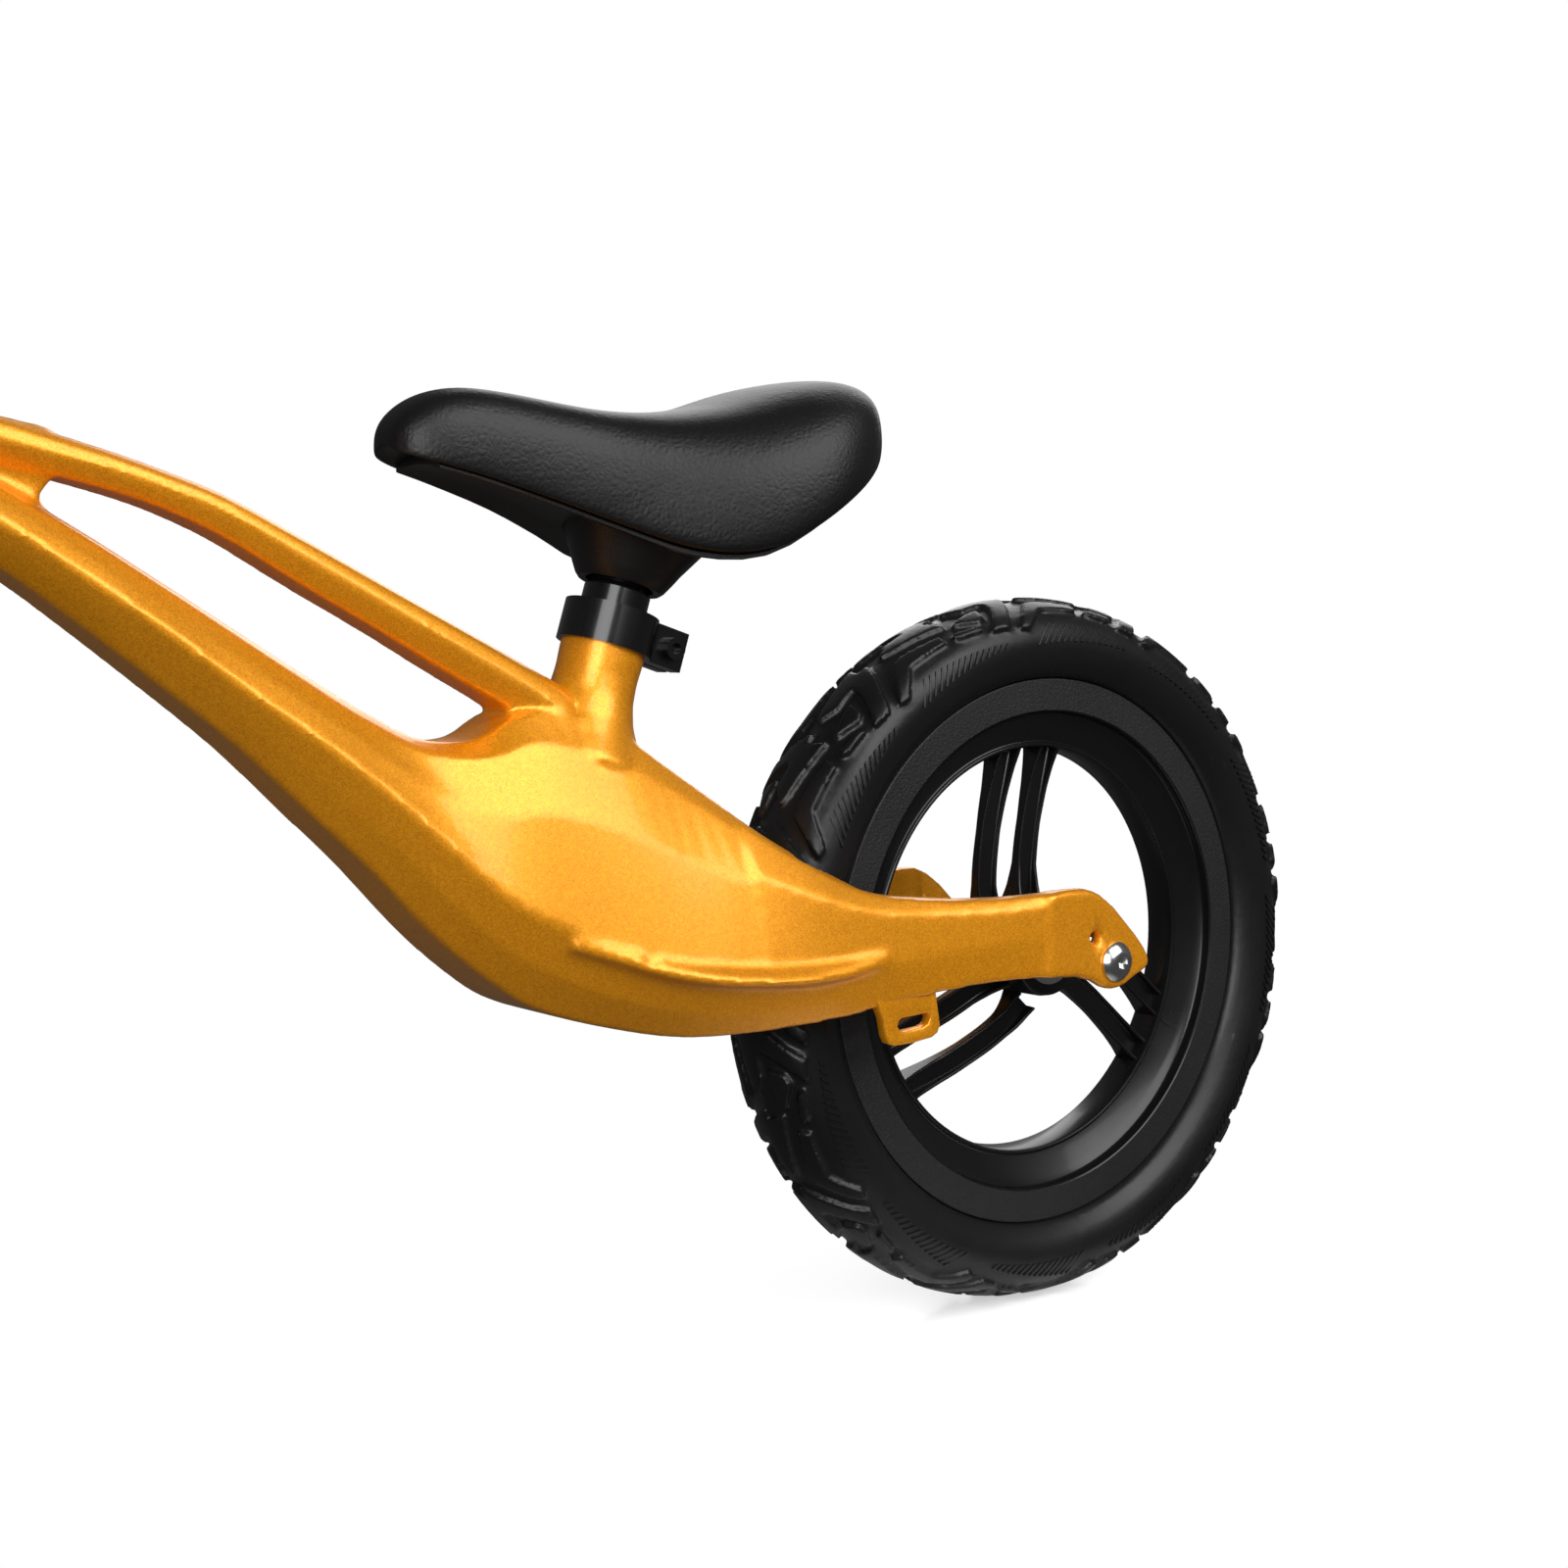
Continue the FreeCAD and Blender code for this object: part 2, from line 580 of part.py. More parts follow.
# ---------------------------------------------------------------- fork and handlebar
LEG = (
    # height, rear x, front x, inner y, outer y
    (-46, -15, 15, 30, 40),
    (-62, -15, 15, 34, 45),
    (-100, -13, 15, 34, 46.5),
    (-150, -9, 17, 34, 47),
    (-195, -1, 24, 34, 47),
    (-232, 6, 28, 34, 47),
)
CROWN = ((-17, -38), (-11, -43), (13, -43), (18, -36), (18, 36), (13, 43), (-11, 43), (-17, 38))
fork = new_body("fork")
ring(fork, "steerer_foot", "steerer_radius", "head_tube_radius - 1", "crown_bottom", "crown_top")
pad(fork, "crown", "XY_Plane", "crown_bottom", "crown_top", lambda sketch: outline(sketch, CROWN))
for side, sign in (("left", 1), ("right", -1)):
    loft(fork, "leg_" + side, "XY_Plane", [
        (height, ((back, sign * inner), (back, sign * (outer - 4)), (back + 5, sign * outer),
                  (front - 5, sign * outer), (front, sign * (outer - 4)), (front, sign * inner)))
        for height, back, front, inner, outer in LEG
    ])
pocket(fork, "wheel_gap", "XZ_Plane", "-fork_inner_half_gap", "fork_inner_half_gap",
       lambda sketch: polygon(sketch, [
           (-40, "crown_bottom"), (60, "crown_bottom"), (60, -260), (-40, -260)]))
pocket(fork, "steerer_seat", "XY_Plane", "crown_bottom - 1", "crown_top + 1",
       lambda sketch: circle(sketch, 0, 0, "steerer_radius"))
pocket(fork, "axle_hole", "XZ_Plane", -60, 60,
       lambda sketch: circle(sketch, "fork_axle_forward", "fork_axle_down", "axle_radius"))
place(fork, *HEAD_AXIS)

steerer = new_body("steerer_tube")
revolve(steerer, "steerer_turned", "XZ_Plane", [
    (0, "crown_bottom"), ("steerer_radius", "crown_bottom"), ("steerer_radius", "steerer_top"),
    ("bar_tube_radius + bar_slide_clearance", "steerer_top"),
    ("bar_tube_radius + bar_slide_clearance", -40), (0, -40),
], "V_Axis")
place(steerer, *HEAD_AXIS)

handlebar = new_body("handlebar")
path = new_sketch(handlebar, "bar_path", "YZ_Plane")
BAR_BENDS = ((-1, 0), (-0.42, 0), (-0.22, 1), (0.22, 1), (0.42, 0), (1, 0))
corners = [
    Vec(fraction * number("bar_half_length"),
        number("bar_centre_height") + (1 - low) * number("bar_rise"), 0)
    for fraction, low in BAR_BENDS
]
for index, (start, end) in enumerate(zip(corners, corners[1:])):
    path.addGeometry(Part.LineSegment(start, end))
    if index:
        path.addConstraint(Sketcher.Constraint("Coincident", index - 1, 2, index, 1))
tube_end = new_sketch(handlebar, "bar_section", "XZ_Plane", "bar_half_length")
circle(tube_end, 0, "bar_centre_height + bar_rise", "bar_tube_radius")
cross = handlebar.newObject("PartDesign::AdditivePipe", "cross_bar")
cross.Profile = tube_end
cross.Spine = (path, ["Edge%d" % (index + 1) for index in range(len(corners) - 1)])
cross.Transition = "Round corner"
pad(handlebar, "stem", "XY_Plane", -20, "bar_centre_height",
    lambda sketch: circle(sketch, 0, 0, "bar_tube_radius"))
place(handlebar, *HEAD_AXIS)

for side, sign in (("left", "-"), ("right", "")):
    grip = new_body("grip_" + side)
    at = "bar_centre_height + bar_rise"
    for name, radius, inner, outer in (
            ("sleeve", "grip_radius", "grip_inner_end", "bar_half_length"),
            ("flange", "grip_flange_radius", "grip_inner_end", "grip_inner_end + 5"),
            ("end_ball", "grip_flange_radius - 1", "bar_half_length - 6", "bar_half_length + 5")):
        ends = sorted(["%s(%s)" % (sign, inner), "%s(%s)" % (sign, outer)], key=number)
        pad(grip, name, "XZ_Plane", ends[0], ends[1], lambda sketch: circle(sketch, 0, at, radius))
    ends = sorted(["%s60" % sign, sign + "bar_half_length"], key=number)
    pocket(grip, "bar_hole", "XZ_Plane", ends[0], ends[1],
           lambda sketch: circle(sketch, 0, at, "bar_tube_radius"))
    place(grip, *HEAD_AXIS)

# ---------------------------------------------------------------- seat post and saddle
post = new_body("seat_post")
revolve(post, "post_turned", "XZ_Plane", [
    (0, "seat_post_bottom"), ("seat_post_radius - 1", "seat_post_bottom"),
    ("seat_post_radius", "seat_post_bottom + 2"), ("seat_post_radius", "seat_clamp_height + 7"),
    ("seat_post_radius - 1.5", "seat_clamp_height + 9"), ("seat_post_radius - 1.5", "seat_post_top"),
    ("seat_plate_radius", "seat_post_top"), ("seat_plate_radius", "seat_post_top + 3.5"),
    (0, "seat_post_top + 3.5"),
], "V_Axis")
SCREWS = tuple((sx * 10.5, sy * 10.5) for sx in (-1, 1) for sy in (-1, 1))


def draw_screw_holes(sketch):
    for u, v in SCREWS:
        circle(sketch, u, v, "saddle_screw_radius")


pocket(post, "plate_holes", "XY_Plane", "seat_post_top - 0.5", "seat_post_top + 4", draw_screw_holes)
place(post, *SEAT_AXIS)
for index, (u, v) in enumerate(SCREWS, 1):
    screw = new_body("saddle_screw_%d" % index)
    pad(screw, "screw_shank", "XY_Plane", "seat_post_top - 0.5", "seat_post_top + 7",
        lambda sketch: circle(sketch, u, v, "saddle_screw_radius"))
    pad(screw, "screw_head", "XY_Plane", "seat_post_top - 2.5", "seat_post_top",
        lambda sketch: circle(sketch, u, v, "saddle_screw_radius + 1.8"))
    place(screw, *SEAT_AXIS)

skirt = new_body("saddle_skirt")
revolve(skirt, "skirt_turned", "XZ_Plane", [
    ("seat_post_radius + 0.4", "seat_clamp_height + 9.5"),
    ("seat_post_radius + 3", "seat_clamp_height + 9.5"),
    ("seat_plate_radius + 5.2", "seat_post_top - 3.5"),
    ("seat_plate_radius + 5.8", "seat_post_top + 1"),
    ("seat_plate_radius + 3.5", "seat_post_top + 1"),
    ("seat_plate_radius + 3", "seat_post_top - 3"),
    ("seat_post_radius + 0.4", "seat_clamp_height + 12"),
], "V_Axis")
place(skirt, *SEAT_AXIS)

# Saddle sections at constant x: x, half width, top z, rim z.
SADDLE = (
    (-193.5, 24, 376, 353), (-185.5, 42, 380, 338), (-171.5, 57, 381.5, 324),
    (-150.5, 62, 377, 315), (-125.5, 57, 369, 312), (-100.5, 45, 365.5, 316),
    (-75.5, 33, 366.5, 323), (-50.5, 25, 370, 331), (-25.5, 21, 371, 338.5),
    (-7.5, 16, 366, 343), (3.5, 7, 355, 346.5),
)
cover = new_body("saddle_cover")
loft(cover, "cover_loft", "YZ_Plane", [
    (x, mirrored([(0.35 * w, top), (0.72 * w, top - 0.12 * (top - rim)),
                  (0.94 * w, top - 0.42 * (top - rim)), (w, rim + 0.25 * (top - rim)),
                  (0.97 * w, rim), (0.55 * w, rim + 0.16 * (top - rim))]))
    for x, w, top, rim in SADDLE
])
place(cover)
BASE_GAP = 0.4
BASE_THICKNESS = 3
base = new_body("saddle_base")
loft(base, "base_loft", "YZ_Plane", [
    (x, mirrored([(0.5 * w, rim + 0.15 * (top - rim) - BASE_GAP), (0.93 * w, rim - BASE_GAP),
                  (0.92 * w, rim - BASE_GAP - BASE_THICKNESS),
                  (0.48 * w, rim + 0.15 * (top - rim) - BASE_GAP - BASE_THICKNESS)]))
    for x, w, top, rim in SADDLE[1:-1]
])
place(base)

# ---------------------------------------------------------------- check and export
doc.recompute()
FRAME_STOCK = ("frame_casting", "frame_head_tube", "frame_seat_neck")
for item in doc.Objects:
    bad = [state for state in item.State if state in ("Invalid", "Error")]
    if bad:
        raise RuntimeError("%s is %s" % (item.Label, bad))
nodes = [frame] + [
    item for item in doc.Objects
    if item.TypeId == "PartDesign::Body"
    and item.Label not in FRAME_STOCK
    and not item.Label.startswith("cut_")
]
for node in nodes:
    if node.Shape.isNull() or not node.Shape.isValid():
        raise RuntimeError("%s has a bad shape" % node.Label)
    if len(node.Shape.Solids) != 1:
        raise RuntimeError("%s has %d solids" % (node.Label, len(node.Shape.Solids)))
    node.Shape.exportStep("parts/%s.step" % node.Label)
    box = node.Shape.BoundBox
    print("%-24s vol %9.1f  x %7.1f %7.1f  y %7.1f %7.1f  z %7.1f %7.1f" % (
        node.Label, node.Shape.Volume / 1000, box.XMin, box.XMax, box.YMin, box.YMax,
        box.ZMin, box.ZMax))
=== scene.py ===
import math

import bmesh
import bpy
from bpy.props import FloatProperty, IntProperty, PointerProperty
from mathutils import Matrix, Vector

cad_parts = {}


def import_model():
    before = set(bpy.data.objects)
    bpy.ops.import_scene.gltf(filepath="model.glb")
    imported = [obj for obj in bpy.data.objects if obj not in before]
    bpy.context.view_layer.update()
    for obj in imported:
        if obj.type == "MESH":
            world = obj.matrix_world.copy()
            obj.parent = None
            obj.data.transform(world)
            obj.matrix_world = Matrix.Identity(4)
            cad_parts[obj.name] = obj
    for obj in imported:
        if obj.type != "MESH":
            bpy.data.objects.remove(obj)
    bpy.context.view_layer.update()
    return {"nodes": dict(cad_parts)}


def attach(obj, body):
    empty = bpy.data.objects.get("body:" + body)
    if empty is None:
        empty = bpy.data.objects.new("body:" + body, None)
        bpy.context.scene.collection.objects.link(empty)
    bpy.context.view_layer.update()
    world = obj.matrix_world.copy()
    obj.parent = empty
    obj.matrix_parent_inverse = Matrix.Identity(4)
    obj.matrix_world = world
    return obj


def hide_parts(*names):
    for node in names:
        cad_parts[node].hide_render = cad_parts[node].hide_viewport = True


bl_info = {
    "name": "Balance bike",
    "version": (1, 0, 0),
    "blender": (4, 5, 0),
    "location": "3D Viewport > Sidebar > Balance bike",
    "description": "Builds a child's balance bike round its packed CAD frame",
    "category": "Object",
}

MM = 0.001
REAR_AXLE = Vector((-300.0, 0.0, 150.0))
FRONT_AXLE = Vector((300.0, 0.0, 150.0))
SEAT_ORIGIN = Vector((-86.0, 0.0, 279.0))
HEAD_ORIGIN = Vector((211.0, 0.0, 350.0))
SEAT_TILT = math.radians(17.3)
HEAD_TILT = math.radians(19.5)

# Half widths and radii shared with the CAD, in mm.
DROPOUT_INNER = 50.5
DROPOUT_OUTER = 56.0
FORK_OUTER = 47.0
TAB_INNER = 40.5
TAB_OUTER = 45.5
TYRE_GAP_RADIUS = 158.0
TYRE_GAP_HALF_WIDTH = 34.5
POST_BORE = 12.7
HEAD_BORE = 16.0
ACCESSORY_HOLE = Vector((-288.6, 0.0, 160.5))
CASTING_FACES = 90000
TYRE_FACES = 62000


# ------------------------------------------------------------------ settings
class FrameSettings(bpy.types.PropertyGroup):
    voxel: FloatProperty(
        name="Voxel", description="Cell size of the casting's skin",
        default=0.0013, min=0.0008, max=0.004, unit="LENGTH")
    smoothing: IntProperty(
        name="Smoothing", description="Passes that round the casting's edges", default=5, min=0)
    steps: IntProperty(
        name="Steps", description="Rings between two styled sections", default=4, min=1, max=12)


class WheelSettings(bpy.types.PropertyGroup):
    segments: IntProperty(
        name="Segments", description="Facets round the tyre and the rim", default=144, min=48)
    pitches: IntProperty(
        name="Pitches", description="Repeats of the tread pattern round a tyre", default=12, min=6)
    tread_depth: FloatProperty(
        name="Tread depth", description="Height of the tread blocks",
        default=0.0024, min=0.0005, max=0.004, unit="LENGTH")
    voxel: FloatProperty(
        name="Voxel", description="Cell size of the tyre's skin",
        default=0.001, min=0.0006, max=0.003, unit="LENGTH")


class SaddleSettings(bpy.types.PropertyGroup):
    subdivision: IntProperty(
        name="Subdivision", description="Levels of the saddle's smooth skin", default=3, min=1, max=4)
    grain: FloatProperty(
        name="Grain", description="Strength of the cover's leather grain", default=0.35, min=0, max=1)


class PaintSettings(bpy.types.PropertyGroup):
    flake: FloatProperty(
        name="Flake", description="Strength of the metallic flake", default=0.5, min=0, max=1)


class StageSettings(bpy.types.PropertyGroup):
    key_power: FloatProperty(
        name="Key power", description="Power of the large upper softbox in watts", default=44, min=0)
    fill: FloatProperty(
        name="Fill", description="Strength of the surrounding light", default=0.1, min=0, max=2)


# ------------------------------------------------------------------ mesh helpers
def catmull(a, b, c, d, t):
    """Point between b and c on the smooth curve through four points."""
    return 0.5 * ((2 * b) + (c - a) * t + (2 * a - 5 * b + 4 * c - d) * t * t
                  + (3 * b - a - 3 * c + d) * t * t * t)


def smooth_rings(rings, steps):
    """Rings of points with smooth ones put in between along the length."""
    out = []
    last = len(rings) - 1
    for index in range(last):
        four = [rings[max(0, min(last, index + shift))] for shift in (-1, 0, 1, 2)]
        for step in range(steps):
            out.append([catmull(*points, step / steps) for points in zip(*four)])
    out.append([point.copy() for point in rings[-1]])
    return out


def add_ring(bm, points):
    """Closed loop of edges through the points."""
    verts = bmesh.ops.create_circle(bm, segments=len(points), radius=1.0)["verts"]
    for vert, point in zip(verts, points):
        vert.co = point
    return list({edge for vert in verts for edge in vert.link_edges})


def loft(bm, rings, closed=False):
    """Skin through rings of equal count, capped at both ends unless it closes on itself."""
    loops = [add_ring(bm, ring) for ring in rings]
    pairs = list(zip(loops, loops[1:]))
    if closed:
        pairs.append((loops[-1], loops[0]))
    for one, two in pairs:
        bmesh.ops.bridge_loops(bm, edges=one + two)
    if not closed:
        bmesh.ops.holes_fill(bm, edges=loops[0] + loops[-1])


def mirror_half(half):
    """Close a half section, listed top to bottom, with its mirror image across the middle plane."""
    return half + [(-y, z) for y, z in reversed(half)]


def sections_to_rings(table, mirrored=True, side=1):
    """Rings at constant x from half sections, closed by mirroring or moved to one side."""
    rings = []
    for x, half in table:
        section = mirror_half(list(half)) if mirrored else [(side * y, z) for y, z in half]
        rings.append([Vector((x, y, z)) for y, z in section])
    return rings


def prism(bm, outline, low, high, bevel=0.0, segments=2):
    """Plate with the outline (x, z), standing between y = low and y = high."""
    made = bmesh.ops.create_circle(bm, segments=len(outline), radius=1.0, cap_ends=True)["verts"]
    for vert, (x, z) in zip(made, outline):
        vert.co = (x, low, z)
    face = next(iter(set.intersection(*[set(vert.link_faces) for vert in made])))
    result = bmesh.ops.extrude_face_region(bm, geom=[face])["geom"]
    moved = [item for item in result if isinstance(item, bmesh.types.BMVert)]
    bmesh.ops.translate(bm, vec=(0, high - low, 0), verts=moved)
    verts = made + moved
    if bevel:
        edges = list({edge for vert in verts for edge in vert.link_edges})
        rims = [edge for edge in edges if abs(edge.verts[0].co.y - edge.verts[1].co.y) < 1e-6]
        bmesh.ops.bevel(bm, geom=rims, offset=bevel, segments=segments, profile=0.5,
                        affect="EDGES", material=-1, clamp_overlap=True)


def spun(bm, profile, segments, origin=Vector(), axis=Vector((0, 0, 1)), across=Vector((1, 0, 0))):
    """Solid of revolution of (radius, height) points about an axis through origin."""
    verts = [bm.verts.new(origin + across * radius + axis * height) for radius, height in profile]
    edges = [bm.edges.new(pair) for pair in zip(verts, verts[1:])]
    geom = verts + edges
    bmesh.ops.spin(bm, geom=geom, cent=origin, axis=axis, dvec=(0, 0, 0),
                   angle=math.tau, steps=segments, use_merge=True)
    bmesh.ops.remove_doubles(bm, verts=bm.verts[:], dist=0.0005)


def finish_mesh(name, bm, body, material, sharp=35.0, scale=MM):
    """Turn a bmesh drawn in millimetres into a finished piece that rides on a body."""
    bmesh.ops.scale(bm, vec=(scale, scale, scale), verts=bm.verts[:])
    bmesh.ops.recalc_face_normals(bm, faces=bm.faces[:])
    mesh = bpy.data.meshes.new(name)
    bm.to_mesh(mesh)
    bm.free()
    mesh.shade_smooth()
    if sharp:
        mesh.set_sharp_from_angle(angle=math.radians(sharp))
    piece = bpy.data.objects.new(name, mesh)
    bpy.context.scene.collection.objects.link(piece)
    if material:
        mesh.materials.append(material)
    if body:
        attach(piece, body)
    return piece


def bake(piece):
    """Make the modified shape the piece's own mesh and drop its modifiers."""
    bpy.context.view_layer.update()
    graph = bpy.context.evaluated_depsgraph_get()
    mesh = bpy.data.meshes.new_from_object(piece.evaluated_get(graph))
    old = piece.data
    piece.modifiers.clear()
    piece.data = mesh
    bpy.data.meshes.remove(old)


def add_modifier(piece, kind, **values):
    """Add a modifier with its settings given by name."""
    modifier = piece.modifiers.new(kind.title(), kind)
    for name, value in values.items():
        setattr(modifier, name, value)
    return modifier


def subdivide(piece, levels):
    add_modifier(piece, "SUBSURF", levels=levels, render_levels=levels)


def leaning_point(origin, tilt, x, y, up):
    """Point given across (x, y) and along (up) an axis that leans back by tilt."""
    axis = Vector((-math.sin(tilt), 0, math.cos(tilt)))
    across = Vector((math.cos(tilt), 0, math.sin(tilt)))
    return origin + across * x + Vector((0, y, 0)) + axis * up


def seat_point(x, y, up):
    """Point given across and along the leaning seat axis."""
    return leaning_point(SEAT_ORIGIN, SEAT_TILT, x, y, up)


def head_point(x, y, up):
    """Point given across and along the leaning steering axis."""
    return leaning_point(HEAD_ORIGIN, HEAD_TILT, x, y, up)


SEAT_UP = seat_point(0, 0, 1) - SEAT_ORIGIN
SEAT_ACROSS = seat_point(1, 0, 0) - SEAT_ORIGIN
HEAD_UP = head_point(0, 0, 1) - HEAD_ORIGIN
HEAD_ACROSS = head_point(1, 0, 0) - HEAD_ORIGIN


# ------------------------------------------------------------------ materials
def new_material(name):
    material = bpy.data.materials.get(name)
    if material:
        return material, None
    material = bpy.data.materials.new(name)
    material.use_nodes = True
    tree = material.node_tree
    return material, tree


def node(tree, kind, **inputs):
    """Shader node with its input values set by socket name."""
    made = tree.nodes.new(kind)
    for name, value in inputs.items():
        made.inputs[name.replace("_", " ")].default_value = value
    return made


def grain_group():
    """Shared height patterns: fine noise and wrinkled cells, both 0..1."""
    group = bpy.data.node_groups.get("Surface grain")
    if group:
        return group
    group = bpy.data.node_groups.new("Surface grain", "ShaderNodeTree")
    group.interface.new_socket("Scale", in_out="INPUT", socket_type="NodeSocketFloat")
    group.interface.new_socket("Fine", in_out="OUTPUT", socket_type="NodeSocketFloat")
    group.interface.new_socket("Cells", in_out="OUTPUT", socket_type="NodeSocketFloat")
    entry = group.nodes.new("NodeGroupInput")
    out = group.nodes.new("NodeGroupOutput")
    place = group.nodes.new("ShaderNodeTexCoord")
    fine = node(group, "ShaderNodeTexNoise", Detail=3.0, Roughness=0.6)
    cells = node(group, "ShaderNodeTexVoronoi", Randomness=1.0)
    cells.feature = "DISTANCE_TO_EDGE"
    for texture in (fine, cells):
        group.links.new(place.outputs["Object"], texture.inputs["Vector"])
        group.links.new(entry.outputs["Scale"], texture.inputs["Scale"])
    group.links.new(fine.outputs["Fac"], out.inputs["Fine"])
    group.links.new(cells.outputs["Distance"], out.inputs["Cells"])
    return group


def add_grain(tree, scale):
    made = tree.nodes.new("ShaderNodeGroup")
    made.node_tree = grain_group()
    made.inputs["Scale"].default_value = scale
    return made


def bump(tree, height, strength, distance, shader):
    made = node(tree, "ShaderNodeBump", Strength=strength, Distance=distance)
    tree.links.new(height, made.inputs["Height"])
    tree.links.new(made.outputs["Normal"], shader.inputs["Normal"])
    return made


def plain(name, color, roughness, metallic=0.0, coat=0.0, grain=0.0, scale=400.0, distance=0.0004,
          spread=0.06, ior=1.4):
    """Principled material with slightly uneven roughness and an optional fine surface grain."""
    material, tree = new_material(name)
    if tree is None:
        return material
    shader = tree.nodes["Principled BSDF"]
    shader.inputs["Base Color"].default_value = (*color, 1.0)
    shader.inputs["Metallic"].default_value = metallic
    shader.inputs["Coat Weight"].default_value = coat
    shader.inputs["Coat Roughness"].default_value = 0.08
    shader.inputs["IOR"].default_value = ior
    wear = add_grain(tree, 18.0)
    span = node(tree, "ShaderNodeMapRange", From_Min=0.3, From_Max=0.7,
                To_Min=max(0.02, roughness - spread), To_Max=roughness + spread)
    tree.links.new(wear.outputs["Fine"], span.inputs["Value"])
    tree.links.new(span.outputs["Result"], shader.inputs["Roughness"])
    if grain:
        texture = add_grain(tree, scale)
        bump(tree, texture.outputs["Fine"], grain, distance, shader)
    return material


def gold_paint(flake):
    """Metallic amber paint: bright fine flake under a clear coat."""
    material, tree = new_material("Amber metallic paint")
    if tree is None:
        return material
    shader = tree.nodes["Principled BSDF"]
    shader.inputs["Metallic"].default_value = 0.5
    shader.inputs["Coat Weight"].default_value = 0.3
    shader.inputs["Coat Roughness"].default_value = 0.12
    place = tree.nodes.new("ShaderNodeTexCoord")
    cells = node(tree, "ShaderNodeTexVoronoi", Scale=2600.0, Randomness=1.0)
    tree.links.new(place.outputs["Object"], cells.inputs["Vector"])
    split = tree.nodes.new("ShaderNodeSeparateColor")
    tree.links.new(cells.outputs["Color"], split.inputs["Color"])
    tint = tree.nodes.new("ShaderNodeValToRGB")
    tint.color_ramp.elements[0].color = (0.72, 0.235, 0.003, 1)
    tint.color_ramp.elements[1].color = (1.0, 0.41, 0.010, 1)
    tree.links.new(split.outputs["Red"], tint.inputs["Fac"])
    tree.links.new(tint.outputs["Color"], shader.inputs["Base Color"])
    span = node(tree, "ShaderNodeMapRange", To_Min=0.30, To_Max=0.46)
    tree.links.new(split.outputs["Green"], span.inputs["Value"])
    tree.links.new(span.outputs["Result"], shader.inputs["Roughness"])
    bump(tree, split.outputs["Blue"], 0.12 * flake, 0.0002, shader)
    return material


def saddle_leather(grain):
    material, tree = new_material("Black saddle leather")
    if tree is None:
        return material
    shader = tree.nodes["Principled BSDF"]
    shader.inputs["Base Color"].default_value = (0.0035, 0.0035, 0.004, 1)
    shader.inputs["Roughness"].default_value = 0.42
    shader.inputs["IOR"].default_value = 1.4
    cells = add_grain(tree, 420.0)
    wrinkle = add_grain(tree, 55.0)
    blend = node(tree, "ShaderNodeMath")
    blend.operation = "MULTIPLY_ADD"
    blend.inputs[1].default_value = 2.2
    tree.links.new(wrinkle.outputs["Fine"], blend.inputs[0])
    tree.links.new(cells.outputs["Cells"], blend.inputs[2])
    bump(tree, blend.outputs["Value"], grain, 0.0005, shader)
    return material


def black_rim_plastic():
    return plain("Black moulded nylon", (0.004, 0.004, 0.0045), 0.28, coat=0.1, grain=0.05,
                 scale=500.0, distance=0.0002)


def rim_face_plastic():
    return plain("Textured rim face", (0.011, 0.011, 0.012), 0.50, grain=0.7, scale=900.0,
                 distance=0.0006)


def tyre_foam():
    return plain("Black tyre foam", (0.006, 0.006, 0.0065), 0.36, grain=0.25, scale=260.0,
                 distance=0.0004)


def black_alloy():
    return plain("Black anodised alloy", (0.004, 0.004, 0.0045), 0.26, metallic=0.0, coat=0.4,
                 grain=0.05, scale=700.0, distance=0.0001)


def bright_steel():
    return plain("Bright steel", (0.66, 0.66, 0.66), 0.22, metallic=1.0, grain=0.05, scale=900.0,
                 distance=0.0001, spread=0.08)


def grip_rubber():
    return plain("Grip rubber", (0.009, 0.009, 0.01), 0.62, grain=0.3, scale=600.0)


# ------------------------------------------------------------------ frame casting
# Spar and belly at constant x: half section (y, z), from the top down.
SPAR = (
    (208, ((9, 357), (14, 353), (17, 350), (18, 346), (15, 341), (9, 337))),
    (170, ((8, 345), (14, 342), (17, 338), (19.5, 332), (15, 326), (9, 321))),
    (139, ((7, 331), (13, 328), (17, 323), (21, 316), (16, 310), (9.5, 304))),
    (115, ((7, 318), (13, 315), (18, 308.5), (22, 300.5), (16.5, 293.5), (10, 287))),
    (90, ((7, 303), (13, 300), (18.5, 292.5), (23.5, 284), (17.5, 276), (11, 268))),
    (64, ((7.5, 287), (14, 283.5), (20, 275), (25, 265), (19, 256), (12, 247.5))),
    (38, ((8, 271), (15, 267), (21.5, 258), (27, 247), (20.5, 235), (13, 223.5))),
    (16, ((9, 258), (16, 253.5), (23, 243), (29, 230), (22.5, 216), (14, 203))),
    (-4, ((10, 248.5), (18, 244), (25, 230), (31.5, 212), (24.5, 196), (15, 182))),
    (-25, ((12, 248), (21, 242), (28, 222), (34.5, 193), (27, 177), (17, 164))),
    (-45, ((14, 257), (23, 246), (31, 222), (38, 182), (30, 165), (19, 151))),
    (-75, ((17, 252), (25, 239), (34, 214), (43, 171), (34, 153), (24, 141.5))),
    (-105, ((21, 233), (28, 224), (38, 200), (47, 163), (38, 146), (30, 136))),
    (-140, ((30, 208), (35, 203), (43, 189), (49, 158), (43, 144), (38, 136.5))),
    (-176, ((37, 188), (40, 186), (46, 179), (49, 157), (46, 147), (43, 139.5))),
)
